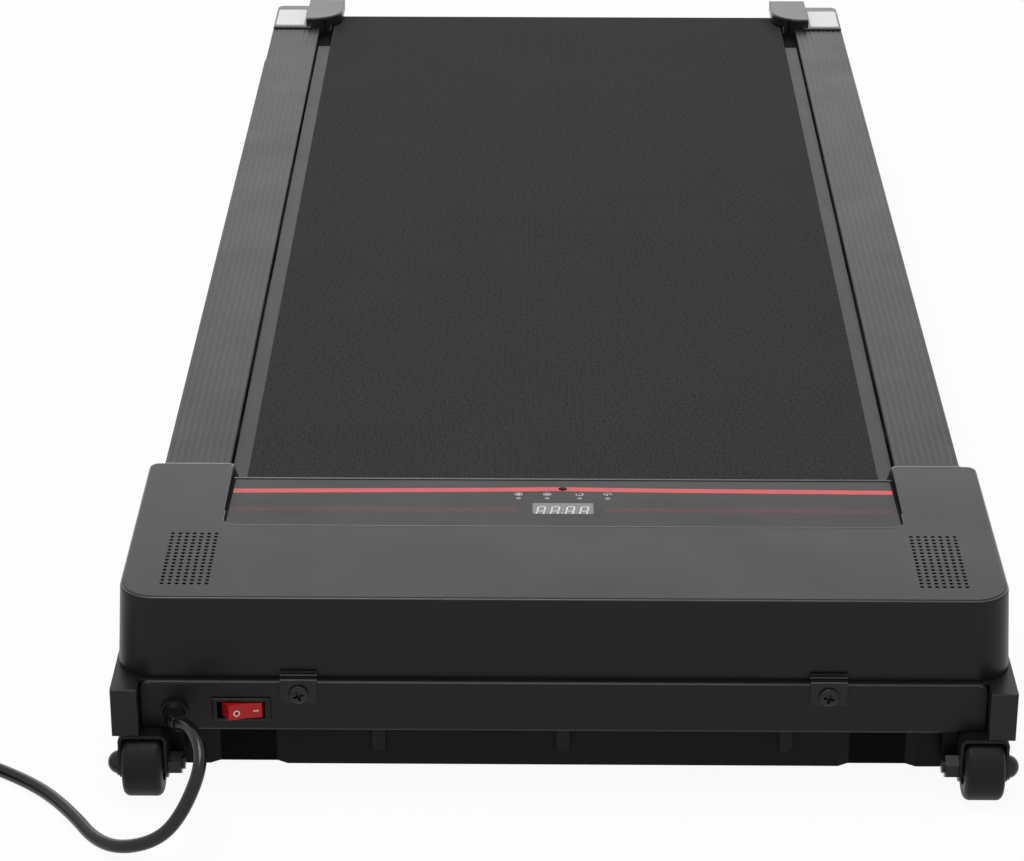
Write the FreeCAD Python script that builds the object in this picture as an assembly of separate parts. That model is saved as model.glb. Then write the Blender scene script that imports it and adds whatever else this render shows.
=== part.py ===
import FreeCAD, Part
import math
import os

from FreeCAD import Placement, Rotation, Vector

# Under-desk walking pad, in millimetres. X is to the right, Y runs from the motor end
# to the rear, Z is up. The origin is on the floor under the middle of the pad.

# Overall
overall_length = 1200.0  # wheel fronts to the back of the rear caps

# Walking belt, rollers and axles
belt_width = 400.0
belt_thickness = 1.6
belt_gap = 0.3  # between the belt and what it runs round
roller_radius = 19.0
roller_wall = 1.5
roller_overhang = 3.0  # roller past each edge of the belt
roller_rise = 23.7  # roller axis above the frame tubes
front_roller_inset = 23.5  # axis ahead of the panel's rear edge
rear_roller_inset = 22.7  # axis ahead of the back of the caps
axle_radius = 7.5
axle_end_gap = 0.5
bearing_width = 11.0
bearing_inset = 4.0
running_clearance = 0.05
fit_clearance = 0.02

# Deck and what carries it
deck_border = 10.5  # deck past each edge of the belt
deck_thickness = 12.0
deck_front_gap = 6.0  # deck behind the front turn of the belt
deck_rear_gap = 58.4  # deck ahead of the rear turn of the belt
cushion_thickness = 4.0
cushion_length = 40.0
cushion_width = 24.0
cushion_place_share = 0.7
crossmember_width = 30.0
crossmember_wall = 1.5
crossmember_belt_gap = 4.6
deck_crossmember_shares = (0.1, 0.5, 0.9)
base_crossmember_height = 20.0
base_crossmember_lift = 2.0
base_crossmember_shares = (0.3, 0.92)

# Side rails
deck_rail_gap = 1.2
rail_width = 41.3
rail_rise = 2.4  # rail above the belt
rail_wall = 2.5
rail_plate_gap = 0.5
rail_inner_skirt = 14.0
rail_tube_gap = 0.4
rail_horn_overlap = 7.7
rail_rib_count = 10
rail_groove_depth = 0.4
rail_groove_share = 0.35
rail_margin = 1.2

# Frame
side_tube_width = 16.0
side_tube_height = 31.0
side_tube_wall = 1.5
side_plate_thickness = 3.0
side_plate_bar_gap = 2.2
tube_cap_setback = 10.5  # cap face behind the wheel fronts
tube_cap_thickness = 2.0
tube_cap_round = 1.2
tube_plug_depth = 10.0
tube_rear_inset = 10.0
front_bar_setback = 22.1
front_bar_drop = 2.0  # bar below the side tubes
front_bar_depth = 25.0
front_bar_wall = 2.0
front_bar_bend = 2.6  # outside radius of the folds
front_bar_face_inset = 0.6  # face short of the side tubes
front_bar_face_corner = 5.0
motor_plate_thickness = 3.0
motor_plate_front_gap = 22.0
motor_plate_depth = 64.0

# Transport wheels
wheel_radius = 20.0
wheel_width = 23.5
wheel_track = 497.2  # between the middles of the wheels
wheel_round = 4.0
wheel_hub_radius = 11.0
wheel_hub_recess = 1.5
wheel_boss_radius = 5.5
wheel_top_gap = 0.6
wheel_side_gap = 0.75
wheel_bolt_radius = 4.0
wheel_bolt_hole_gap = 0.2
wheel_bolt_tip = 2.0
bolt_flange_radius = 8.0
bolt_flange_thickness = 1.5
bolt_dome_radius = 7.0
bolt_dome_height = 6.0
nut_across_flats = 13.0
nut_height = 8.0
bracket_thickness = 1.8
bracket_depth = 60.0  # of the top, front to rear
bracket_eye_radius = 9.0
bracket_rear_edge = 18.0  # upright part of the rear
bracket_notch_gap = 1.0
bracket_bend = 4.0  # outside radius of the folds

# Rear feet
foot_inset = 62.0
foot_top_length = 34.0
foot_bottom_length = 42.0
foot_bottom_width = 22.0
foot_round = 2.0

# Motor hood
hood_ledge = 5.2  # hood behind the face of the front bar
hood_tube_inset = 1.5
hood_side_draft = 2.8
hood_front_draft = 2.0
hood_length = 185.7
hood_wall = 2.5
hood_top_round = 2.2
hood_front_corner = 22.0
hood_rear_corner = 6.0
horn_rise = 4.9  # hood above the rails
horn_rail_gap = 0.3
horn_deck_gap = 0.6
grille_columns = 7
grille_rows = 16
grille_pitch = 4.41
grille_hole_radius = 1.2
grille_side_inset = 24.8
grille_front_inset = 17.9

# Display panel
panel_border = 8.5  # panel past each edge of the belt
panel_rear_inset = 12.2
panel_run = 77.3  # front to rear, seen from above
panel_front_drop = 0.3
panel_rear_rise = 2.0  # rear edge above the belt
panel_thickness = 1.4
panel_gap = 0.2
panel_corner = 9.0
seat_width = 4.0
seat_thickness = 1.5
seat_front_depth = 8.0
window_width = 38.0
window_length = 17.8
window_from_front = 20.8
window_gap = 0.1
window_corner = 1.0
remote_eye_radius = 3.0
remote_eye_from_front = 61.8
digit_module_height = 4.0
digit_module_margin = 1.0
board_thickness = 1.6
board_width = 84.0
board_length = 30.0
board_from_front = 12.0

# Speakers under the grilles
speaker_frame_width = 29.0
speaker_frame_length = 68.0
speaker_frame_thickness = 3.0
speaker_magnet_radius = 11.0
speaker_magnet_height = 9.0
speaker_throat_radius = 12.0

# Drive
motor_radius = 33.0
motor_length = 150.0
motor_spacing = 78.0  # motor axis ahead of the front roller
motor_lift = 3.6
motor_pulley_gap = 22.0
motor_bell_length = 16.0
motor_bell_step = 2.0
motor_cradle_length = 100.0
motor_cradle_width = 44.0
motor_cradle_rise = 10.0
motor_cradle_gap = 0.1
motor_shaft_radius = 5.0
motor_shaft_reach = 60.0
motor_pulley_radius = 9.0
roller_pulley_radius = 21.0
pulley_width = 16.0
pulley_from_roller = 11.0
pulley_flange_thickness = 2.0
pulley_hub_radius = 14.0
pulley_bore_gap = 0.5
drive_belt_thickness = 3.0
drive_belt_groove_gap = 0.3
flange_height = 1.5

# Motor controller
controller_width = 165.0
controller_depth = 56.0
controller_height = 34.0
controller_place_share = 0.355  # of the free room, left of the controller
heat_fin_count = 9
heat_fin_height = 12.0
heat_fin_thickness = 2.0
heat_fin_inset = 8.0

# Belly pan
pan_front_gap = 15.2  # pan behind the face of the front bar
pan_floor_z = 9.5
pan_wall = 2.2
pan_side_gap = 2.3
pan_rear_reach = 28.0  # pan behind the front roller axis
pan_corner = 8.0
pan_notch_rise = 0.4
pan_notch_inner = 171.0
pan_notch_outer = 205.5
pan_notch_ramp = 6.0
pan_pocket_depth = 3.0
pan_rib_places = (-110.0, 0.0, 133.0)
pan_rib_width = 8.0
pan_rib_depth = 2.4
pan_rib_drop = 21.0
pan_boss_radius = 5.0
pan_boss_place_share = 0.8
pan_screw_radius = 2.0
pan_screw_head_radius = 4.0
pan_screw_head_height = 2.4

# Hood clips and their screws
clip_from_end = 94.0
clip_width = 21.8
clip_thickness = 1.5
clip_drop = 13.4
clip_corner = 3.0
clip_ledge_rise = 2.2
clip_lip_height = 3.0
clip_hood_gap = 0.3
clip_screw_drop = 7.4
clip_screw_radius = 2.5
clip_screw_length = 14.0
clip_head_radius = 5.5
clip_head_height = 3.0
clip_head_round = 1.4
recess_length = 5.6
recess_width = 1.4
recess_depth = 1.6

# Power switch
switch_from_end = 60.0
switch_drop = 18.0  # middle of the switch below the top of the frame
bezel_width = 34.6
bezel_height = 15.0
bezel_thickness = 2.0
bezel_round = 1.2
switch_body_width = 30.8
switch_body_height = 13.8
switch_body_depth = 18.0
switch_cavity_width = 28.4
switch_cavity_height = 11.2
switch_cavity_depth = 15.4
switch_cutout_gap = 0.2
rocker_half_length = 13.0
rocker_height = 9.6
rocker_end_rise = 4.7  # rises are in front of the pivot
rocker_ridge_rise = 12.2
rocker_ridge_half = 9.9
rocker_middle_rise = 11.4
rocker_back_depth = 2.4
rocker_back_half = 4.0
rocker_pivot_depth = 10.1  # behind the face of the bezel
rocker_pin_radius = 1.8
rocker_pin_reach = 0.9
rocker_pin_gap = 0.1
rocker_tilt = 12.0  # degrees each side of the middle

# Mains lead gland
gland_from_end = 20.4
gland_drop = 19.4
gland_flange_radius = 8.2
gland_flange_thickness = 3.0
gland_nose_length = 4.0
gland_tip_wall = 1.8
gland_nose_step = 1.2
gland_body_radius = 6.2
gland_hole_gap = 0.1
gland_body_length = 14.0
gland_nut_radius = 9.0
gland_nut_height = 5.0

# Rear caps
cap_length = 63.8
cap_rail_overlap = 5.1
cap_rise = 4.1  # outer part above the belt
cap_block_rise = 10.0  # inner block above the belt
cap_block_outer = 24.0  # block's outer edge past the belt's edge
cap_block_overhang = 7.6  # block over the belt's edge
cap_block_setback = 6.6
cap_block_corner = 26.0
cap_belt_gap = 1.5
cap_roller_gap = 1.0
cap_wall = 2.5
cap_round = 1.5
cap_corner = 6.0
cap_rail_gap = 0.3
cap_axle_gap = 1.0
cap_key_hole_gap = 1.0
pad_thickness = 0.6
pad_margin = 2.0
pad_front_margin = 6.0
pad_rear_margin = 13.0
pad_corner = 2.0

# Belt tension bolts and their plates
tension_from_plate = 19.0
tension_bolt_radius = 4.0
tension_bolt_reach = 10.0
tension_head_radius = 6.5
tension_head_height = 6.0
tension_key_across = 6.0
tension_key_depth = 3.5
tension_plate_thickness = 3.0
tension_plate_setback = 12.0  # plate behind the rear axle
tension_plate_half_height = 13.0
tension_plate_inset = 13.0
axle_slot_gap = 0.15
axle_slot_travel = 8.0
axle_bolt_radius = 4.0
axle_bolt_depth = 20.0
axle_bolt_head_radius = 7.0
axle_bolt_head_height = 5.0
axle_bolt_flange_radius = 9.0
axle_bolt_flange_thickness = 1.2

# Mains lead
lead_diameter = 8.0
lead_lift = 1.3  # coil above the floor, on its tie
coil_turns_per_layer = 2.5
coil_outer_radius = 56.0
coil_pitch = 8.8
coil_layer_pitch = 8.5
coil_centre_x = -412.5
coil_centre_y = -590.0
coil_start_angle = 64.0  # degrees, where the lead runs into the coil
coil_climb_turns = 0.5
coil_approach = 26.0  # straight run into the coil
quarters_per_turn = 4
gap_samples_per_turn = 48
tie_angle = 100.0
tie_width = 10.0
tie_thickness = 1.0
tie_gap = 0.3
plug_gap = 40.0  # straight lead between the coil and the plug
plug_relief_length = 24.0
plug_relief_radius = 5.6
plug_body_length = 26.0
plug_round = 3.0
blade_spacing = 12.7
blade_width = 6.3
blade_thickness = 1.5
blade_length = 17.0
earth_pin_radius = 2.4
earth_pin_length = 19.0
earth_pin_offset = 7.0
inner_lead_radius = 2.6
inner_lead_run = 26.0
motor_lead_straight_share = 0.325  # of the gap to the motor

cut_overrun = 5.0
edge_tolerance = 0.02  # for picking edges by their place
upright_share = 0.99  # of an upright edge's length, along Z
straight_tolerance = 1e-9
hexagon_sides = 6
arc_run_share = 0.45

# Places worked out from the sizes above, front to rear
front_y = -overall_length / 2
rear_y = overall_length / 2
wheel_axis_y = front_y + wheel_radius
bar_front_y = front_y + front_bar_setback
bar_rear_y = bar_front_y + front_bar_depth
hood_foot_y = bar_front_y + hood_ledge
hood_front_y = hood_foot_y + hood_front_draft
horn_rear_y = hood_front_y + hood_length
panel_rear_y = horn_rear_y - panel_rear_inset
panel_front_y = panel_rear_y - panel_run
front_roller_y = panel_rear_y - front_roller_inset
rear_roller_y = rear_y - rear_roller_inset
cap_front_y = rear_y - cap_length
rail_front_y = horn_rear_y - rail_horn_overlap
rail_rear_y = cap_front_y + cap_rail_overlap
motor_y = front_roller_y - motor_spacing
tension_plate_y = rear_roller_y + tension_plate_setback
side_plate_rear_y = tension_plate_y + tension_plate_thickness
side_plate_front_y = bar_rear_y + side_plate_bar_gap
motor_plate_front_y = bar_rear_y + motor_plate_front_gap
motor_plate_rear_y = motor_plate_front_y + motor_plate_depth

# Places across
belt_half = belt_width / 2
roller_half = belt_half + roller_overhang
deck_half = belt_half + deck_border
panel_half = belt_half + panel_border
rail_inner_x = deck_half + deck_rail_gap
rail_outer_x = rail_inner_x + rail_width
tube_inner_x = rail_outer_x - rail_wall - rail_plate_gap
tube_outer_x = tube_inner_x + side_tube_width
plate_inner_x = tube_inner_x - side_plate_thickness
hood_foot_half = tube_outer_x - hood_tube_inset
hood_half = hood_foot_half - hood_side_draft
horn_wall_x = panel_half + hood_wall
wheel_x = wheel_track / 2
wheel_inner_x = wheel_x - wheel_width / 2
wheel_outer_x = wheel_x + wheel_width / 2
arm_inner_x = wheel_inner_x - wheel_side_gap - bracket_thickness
arm_outer_x = wheel_outer_x + wheel_side_gap + bracket_thickness
pan_half = arm_inner_x - pan_side_gap
pulley_inner_x = roller_half + pulley_from_roller
pulley_outer_x = pulley_inner_x + pulley_width
cap_inner_wall_x = roller_half + cap_roller_gap
cap_block_x = belt_half + cap_block_outer
tension_x = plate_inner_x - tension_from_plate
clip_x = tube_inner_x - clip_from_end
switch_x = -(tube_inner_x - switch_from_end)
gland_x = -(tube_inner_x - gland_from_end)
motor_end_x = pulley_inner_x - motor_pulley_gap
motor_start_x = motor_end_x - motor_length
controller_room = motor_start_x + plate_inner_x - controller_width
controller_start_x = -plate_inner_x + controller_place_share * controller_room
controller_end_x = controller_start_x + controller_width
speaker_x = hood_half - grille_side_inset - grille_pitch * (grille_columns - 1) / 2
speaker_y = hood_front_y + grille_front_inset + grille_pitch * (grille_rows - 1) / 2

# Places above the floor
frame_bottom_z = wheel_radius * 2 + wheel_top_gap + bracket_thickness
frame_top_z = frame_bottom_z + side_tube_height
bar_bottom_z = frame_bottom_z - front_bar_drop
roller_z = frame_top_z + roller_rise
belt_inner_radius = roller_radius + belt_gap
belt_outer_radius = belt_inner_radius + belt_thickness
belt_top_z = roller_z + belt_outer_radius
deck_top_z = roller_z + belt_inner_radius
deck_bottom_z = deck_top_z - deck_thickness
crossmember_top_z = deck_bottom_z - cushion_thickness
crossmember_bottom_z = roller_z - belt_inner_radius + crossmember_belt_gap
rail_top_z = belt_top_z + rail_rise
rail_under_z = rail_top_z - rail_wall
hood_top_z = rail_top_z + horn_rise
hood_under_z = hood_top_z - hood_wall
panel_front_z = hood_top_z - panel_front_drop
panel_rear_z = belt_top_z + panel_rear_rise
motor_plate_top_z = frame_bottom_z + motor_plate_thickness
motor_z = motor_plate_top_z + motor_lift + motor_radius
cap_top_z = belt_top_z + cap_rise
cap_block_top_z = belt_top_z + cap_block_rise
switch_z = frame_top_z - switch_drop
gland_z = frame_top_z - gland_drop
deck_front_y = front_roller_y + belt_outer_radius + deck_front_gap
deck_rear_y = rear_roller_y - belt_outer_radius - deck_rear_gap
deck_length = deck_rear_y - deck_front_y

# Slope and length of the display panel
panel_slope = math.degrees(math.atan2(panel_front_z - panel_rear_z, panel_run))
panel_length = math.hypot(panel_run, panel_front_z - panel_rear_z)

# Mains lead, from the gland to where it runs into the coil: points chosen by eye
lead_radius = lead_diameter / 2
lead_start_y = bar_front_y - gland_flange_thickness - gland_nose_length
lead_points = [
    Vector(-229.6, -601.0, 54.0),
    Vector(-217.0, -620.0, 53.5),
    Vector(-209.5, -642.0, 45.0),
    Vector(-214.5, -658.0, 28.0),
    Vector(-228.0, -662.0, 11.0),
    Vector(-247.0, -658.0, 4.1),
    Vector(-267.0, -644.0, 4.1),
    Vector(-287.0, -615.0, 4.1),
    Vector(-308.0, -587.0, 4.1),
    Vector(-334.0, -566.0, 4.3),
]

x_axis = Vector(1, 0, 0)
y_axis = Vector(0, 1, 0)
z_axis = Vector(0, 0, 1)


def box(x0, x1, y0, y1, z0, z1):
    """Box between two corners, given as pairs of limits."""
    return Part.makeBox(x1 - x0, y1 - y0, z1 - z0, Vector(x0, y0, z0))


def rod(axis, radius, start, end):
    """Cylinder of a radius from one point along an axis to the place of another on it."""
    return Part.makeCylinder(radius, (end - start).dot(axis), start, axis)


def rod_x(radius, x0, x1, y, z):
    """Cylinder along X."""
    return rod(x_axis, radius, Vector(x0, y, z), Vector(x1, y, z))


def rod_y(radius, y0, y1, x, z):
    """Cylinder along Y."""
    return rod(y_axis, radius, Vector(x, y0, z), Vector(x, y1, z))


def rod_z(radius, z0, z1, x, y):
    """Cylinder along Z."""
    return rod(z_axis, radius, Vector(x, y, z0), Vector(x, y, z1))


def prism(points, depth):
    """Solid from a closed run of points, pushed along a vector."""
    outline = Part.makePolygon(points + [points[0]])
    return Part.Face(outline).extrude(depth)


def hexagon_rod(axis, across, start, end):
    """Six-sided bar between two points on a level axis."""
    other = axis.cross(z_axis)
    corner = across / (2 * math.cos(math.pi / hexagon_sides))
    points = []
    for step in range(hexagon_sides):
        angle = 2 * math.pi * step / hexagon_sides
        points.append(start + z_axis * (corner * math.cos(angle)) + other * (corner * math.sin(angle)))
    return prism(points, end - start)


def mirrored(shape):
    """The same piece on the left side."""
    return shape.mirror(Vector(0, 0, 0), x_axis)


def pair(shape):
    """A piece and its mirror image as one group."""
    return Part.makeCompound([shape, mirrored(shape)])


def rounded_outline(half_x, y0, y1, z, front_corner, rear_corner):
    """Closed outline in plan, with arcs at its front and rear corners."""
    turn = 1 - math.sqrt(0.5)
    corners = []
    for x, y, radius in ((half_x, y1, rear_corner), (half_x, y0, front_corner),
                         (-half_x, y0, front_corner), (-half_x, y1, rear_corner)):
        across = Vector(-math.copysign(radius, x), 0, 0)
        along = Vector(0, radius if y == y0 else -radius, 0)
        corner = Vector(x, y, z)
        arc = [corner + across, corner + (across + along) * turn, corner + along]
        if (x > 0) == (y == y0):
            arc.reverse()
        corners.append(arc)
    edges = []
    for index, (start, middle, end) in enumerate(corners):
        edges.append(Part.Arc(start, middle, end).toShape())
        following = corners[(index + 1) % len(corners)][0]
        edges.append(Part.LineSegment(end, following).toShape())
    return Part.Wire(edges)


def upright_edges(shape, test):
    """Straight edges along Z whose middle passes a test."""
    found = []
    for edge in shape.Edges:
        direction = edge.Vertexes[-1].Point - edge.Vertexes[0].Point
        upright = direction.Length > 0 and abs(direction.normalize().z) > upright_share
        if upright and test(edge.CenterOfMass):
            found.append(edge)
    return found


def edges_at_height(shape, z):
    """Edges that lie wholly at one height."""
    return [edge for edge in shape.Edges if abs(edge.BoundBox.ZMin - z) < edge_tolerance
            and abs(edge.BoundBox.ZMax - z) < edge_tolerance]


def edges_at_face(shape, y):
    """Edges that lie wholly in one upright plane across the pad."""
    return [edge for edge in shape.Edges if abs(edge.BoundBox.YMin - y) < edge_tolerance
            and abs(edge.BoundBox.YMax - y) < edge_tolerance]


def long_edges(shape, y):
    """Edges along X in one upright plane across the pad."""
    return [edge for edge in edges_at_face(shape, y) if edge.BoundBox.XLength > edge_tolerance]


def rounded_route(points):
    """Straight runs joined by the largest tangent arcs that the runs allow, and the arcs' radii."""
    edges, radii = [], []
    start = points[0]
    for before, corner, after in zip(points, points[1:], points[2:]):
        back, ahead = before - corner, after - corner
        reach = arc_run_share * min(back.Length, ahead.Length)
        half_turn = (math.pi - back.getAngle(ahead)) / 2
        radius = reach / math.tan(half_turn)
        radii.append(radius)
        back.normalize()
        ahead.normalize()
        inward = (back + ahead).normalize()
        arc_start, arc_end = corner + back * reach, corner + ahead * reach
        middle = corner + inward * (radius / math.cos(half_turn) - radius)
        edges.append(Part.LineSegment(start, arc_start).toShape())
        edges.append(Part.Arc(arc_start, middle, arc_end).toShape())
        start = arc_end
    edges.append(Part.LineSegment(start, points[-1]).toShape())
    return Part.Wire(edges), radii


def tube_along(route, radius):
    """Round solid swept along a route."""
    first = route.OrderedEdges[0]
    start, heading = first.valueAt(first.FirstParameter), first.tangentAt(first.FirstParameter)
    profile = Part.Wire([Part.Circle(start, heading, radius).toShape()])
    shell = Part.BRepOffsetAPI.MakePipeShell(route)
    shell.add(profile)
    shell.build()
    shell.makeSolid()
    return Part.Solid(shell.shape())


def export(name, shape):
    """Write one piece to its own file."""
    shape.exportStep(f"parts/{name}.step")
    print(name, len(shape.Solids), "solid(s), volume", round(shape.Volume, 1), "valid", shape.isValid())


def export_sides(name, shape):
    """Write a right-hand piece and its left-hand twin."""
    export(f"right_{name}", shape)
    export(f"left_{name}", mirrored(shape))


# Frame


def side_tube():
    """Hollow steel tube along the right side."""
    y0 = front_y + tube_cap_setback + tube_cap_thickness
    y1 = rear_y - tube_rear_inset - tube_cap_thickness
    outer = box(tube_inner_x, tube_outer_x, y0, y1, frame_bottom_z, frame_top_z)
    inner = box(tube_inner_x + side_tube_wall, tube_outer_x - side_tube_wall, y0 - cut_overrun,
                y1 + cut_overrun, frame_bottom_z + side_tube_wall, frame_top_z - side_tube_wall)
    return outer.cut(inner)


def tube_end_cap(face_y, inward):
    """Moulded plug with a head that closes one end of the right side tube."""
    head_back = face_y + inward * tube_cap_thickness
    head = box(tube_inner_x, tube_outer_x, min(face_y, head_back), max(face_y, head_back),
               frame_bottom_z, frame_top_z)
    head = head.makeFillet(tube_cap_round, edges_at_face(head, face_y))
    inset = side_tube_wall + fit_clearance
    plug_back = head_back + inward * tube_plug_depth
    plug = box(tube_inner_x + inset, tube_outer_x - inset, min(head_back, plug_back),
               max(head_back, plug_back), frame_bottom_z + inset, frame_top_z - inset)
    return head.fuse(plug)


def tube_end_caps():
    """The four plugs at the ends of the side tubes."""
    front = tube_end_cap(front_y + tube_cap_setback, 1)
    rear = tube_end_cap(rear_y - tube_rear_inset, -1)
    return Part.makeCompound([front, mirrored(front), rear, mirrored(rear)])


def side_plate():
    """Steel plate on the inside of the right side tube, which holds the axles and the rail."""
    plate = box(plate_inner_x, tube_inner_x, side_plate_front_y, side_plate_rear_y,
                frame_bottom_z, rail_under_z)
    far_x = tube_inner_x + cut_overrun
    near_x = plate_inner_x - cut_overrun
    hole = rod_x(axle_radius + fit_clearance, near_x, far_x, front_roller_y, roller_z)
    slot_half = axle_radius + axle_slot_gap
    slot = box(near_x, far_x, rear_roller_y - slot_half - axle_slot_travel, rear_roller_y + slot_half,
               roller_z - slot_half, roller_z + slot_half)
    return plate.cut(hole).cut(slot)


def front_bar_face_end():
    """What is cut from the right end of the front bar's face: a strip, and a rounded top corner."""
    end_x = tube_inner_x - front_bar_face_inset
    y0, y1 = bar_front_y - cut_overrun, bar_front_y + front_bar_bend
    low, high = bar_bottom_z - cut_overrun, frame_top_z + cut_overrun
    strip = box(end_x, tube_inner_x + cut_overrun, y0, y1, low, high)
    middle_x, middle_z = end_x - front_bar_face_corner, frame_top_z - front_bar_face_corner
    corner = box(middle_x, end_x + cut_overrun, y0, y1, middle_z, high)
    return strip.fuse(corner.cut(rod_y(front_bar_face_corner, y0, y1, middle_x, middle_z)))


def front_bar():
    """Folded steel channel across the front, with the openings for switch, gland and clip screws."""
    outer = box(-tube_inner_x, tube_inner_x, bar_front_y, bar_rear_y, bar_bottom_z, frame_top_z)
    outer = outer.makeFillet(front_bar_bend, long_edges(outer, bar_front_y))
    face_back = bar_front_y + front_bar_wall
    inner = box(-tube_inner_x - cut_overrun, tube_inner_x + cut_overrun, face_back,
                bar_rear_y + cut_overrun, bar_bottom_z + front_bar_wall, frame_top_z - front_bar_wall)
    inner = inner.makeFillet(front_bar_bend - front_bar_wall, long_edges(inner, face_back))
    bar = outer.cut(inner)
    plate_x0, plate_x1 = bracket_plate_ends()
    notch = box(plate_x0 - bracket_notch_gap, max(plate_x1, tube_inner_x) + cut_overrun,
                bar_front_y - cut_overrun, bar_rear_y + cut_overrun,
                bar_bottom_z - cut_overrun, frame_bottom_z)
    y0, y1 = bar_front_y - cut_overrun, bar_front_y + front_bar_wall + cut_overrun
    half_width = switch_body_width / 2 + switch_cutout_gap
    half_height = switch_body_height / 2 + switch_cutout_gap
    cutout = box(switch_x - half_width, switch_x + half_width, y0, y1,
                 switch_z - half_height, switch_z + half_height)
    gland_hole = rod_y(gland_body_radius + gland_hole_gap, y0, y1, gland_x, gland_z)
    screw_hole = rod_y(clip_screw_radius + fit_clearance, y0, y1, clip_x, frame_top_z - clip_screw_drop)
    end = front_bar_face_end()
    tools = (notch, mirrored(notch), end, mirrored(end), cutout, gland_hole, screw_hole, mirrored(screw_hole))
    for tool in tools:
        bar = bar.cut(tool)
    return bar


def hollow_crossmember(y, z0, z1):
    """Rectangular tube across the pad, between the side plates."""
    half = crossmember_width / 2
    outer = box(-plate_inner_x, plate_inner_x, y - half, y + half, z0, z1)
    inner = box(-plate_inner_x - cut_overrun, plate_inner_x + cut_overrun, y - half + crossmember_wall,
                y + half - crossmember_wall, z0 + crossmember_wall, z1 - crossmember_wall)
    return outer.cut(inner)


def deck_crossmembers():
    """Tubes inside the belt loop that carry the deck."""
    tubes = [hollow_crossmember(deck_front_y + share * deck_length, crossmember_bottom_z, crossmember_top_z)
             for share in deck_crossmember_shares]
    return Part.makeCompound(tubes)


def base_crossmembers():
    """Tubes under the belt loop that tie the two sides together."""
    z0 = frame_bottom_z + base_crossmember_lift
    tubes = [hollow_crossmember(deck_front_y + share * deck_length, z0, z0 + base_crossmember_height)
             for share in base_crossmember_shares]
    return Part.makeCompound(tubes)


def motor_plate():
    """Steel plate across the frame that carries the motor and the controller."""
    plate = box(-plate_inner_x, plate_inner_x, motor_plate_front_y, motor_plate_rear_y,
                frame_bottom_z, motor_plate_top_z)
    for x, y in pan_boss_places():
        hole = rod_z(pan_screw_radius + fit_clearance, frame_bottom_z - cut_overrun,
                     motor_plate_top_z + cut_overrun, x, y)
        plate = plate.cut(hole)
    return plate


# Transport wheels and feet


def bracket_plate_ends():
    """Sides of the right wheel bracket's top plate, which reaches under the tube that it is welded to."""
    tube_x = (tube_inner_x + tube_outer_x) / 2
    return min(arm_inner_x, tube_x), max(arm_outer_x, tube_x)


def folded_block(x0, x1, y0, y1, z0, z1, radius):
    """Block whose two upper edges along Y are rounded."""
    block = box(x0, x1, y0, y1, z0, z1)
    folds = [edge for edge in edges_at_height(block, z1) if edge.BoundBox.YLength > (y1 - y0) / 2]
    return block.makeFillet(radius, folds)


def bracket_side(x0, x1, y0, y1):
    """What the wheel bracket fills from the side: an upright front, and a rear that slopes in to the eye."""
    corner_z = frame_bottom_z - bracket_rear_edge
    run, rise = y1 - wheel_axis_y, corner_z - wheel_radius
    turn = math.atan2(rise, run) - math.acos(bracket_eye_radius / math.hypot(run, rise))
    points = [
        Vector(x0, y0, wheel_radius),
        Vector(x0, y0, frame_bottom_z),
        Vector(x0, y1, frame_bottom_z),
        Vector(x0, y1, corner_z),
        Vector(x0, wheel_axis_y + bracket_eye_radius * math.cos(turn),
               wheel_radius + bracket_eye_radius * math.sin(turn)),
    ]
    eye = rod_x(bracket_eye_radius, x0, x1, wheel_axis_y, wheel_radius)
    return prism(points, Vector(x1 - x0, 0, 0)).fuse(eye)


def wheel_bracket():
    """Inverted U of sheet steel under the right side tube, with rounded folds and arms."""
    top_z, low = frame_bottom_z, wheel_radius - bracket_eye_radius
    y0 = wheel_axis_y - bracket_eye_radius
    y1 = y0 + bracket_depth
    outer = folded_block(arm_inner_x, arm_outer_x, y0, y1, low, top_z, bracket_bend)
    inner = folded_block(arm_inner_x + bracket_thickness, arm_outer_x - bracket_thickness, y0 - cut_overrun,
                         y1 + cut_overrun, low - cut_overrun, top_z - bracket_thickness,
                         bracket_bend - bracket_thickness)
    plate_x0, plate_x1 = bracket_plate_ends()
    outer = outer.fuse(box(plate_x0 + bracket_bend, plate_x1 - bracket_bend, y0, y1,
                           top_z - bracket_thickness, top_z))
    outer = outer.common(bracket_side(plate_x0, plate_x1, y0, y1))
    hole = rod_x(wheel_bolt_radius + wheel_bolt_hole_gap, arm_inner_x - cut_overrun,
                 arm_outer_x + cut_overrun, wheel_axis_y, wheel_radius)
    return outer.cut(inner).cut(hole).removeSplitter()


def wheel():
    """Right transport wheel, with rounded tread edges, recessed sides and a bore for its bolt."""
    tread = rod_x(wheel_radius, wheel_inner_x, wheel_outer_x, wheel_axis_y, wheel_radius)
    tread = tread.makeFillet(wheel_round, [edge for edge in tread.Edges if len(edge.Vertexes) == 1])
    for x0, x1 in ((wheel_inner_x - cut_overrun, wheel_inner_x + wheel_hub_recess),
                   (wheel_outer_x - wheel_hub_recess, wheel_outer_x + cut_overrun)):
        tread = tread.cut(rod_x(wheel_hub_radius, x0, x1, wheel_axis_y, wheel_radius))
        hub_x0, hub_x1 = max(x0, wheel_inner_x), min(x1, wheel_outer_x)
        tread = tread.fuse(rod_x(wheel_boss_radius, hub_x0, hub_x1, wheel_axis_y, wheel_radius))
    bore = rod_x(wheel_bolt_radius + running_clearance, wheel_inner_x - cut_overrun,
                 wheel_outer_x + cut_overrun, wheel_axis_y, wheel_radius)
    return tread.cut(bore).removeSplitter()


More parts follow.
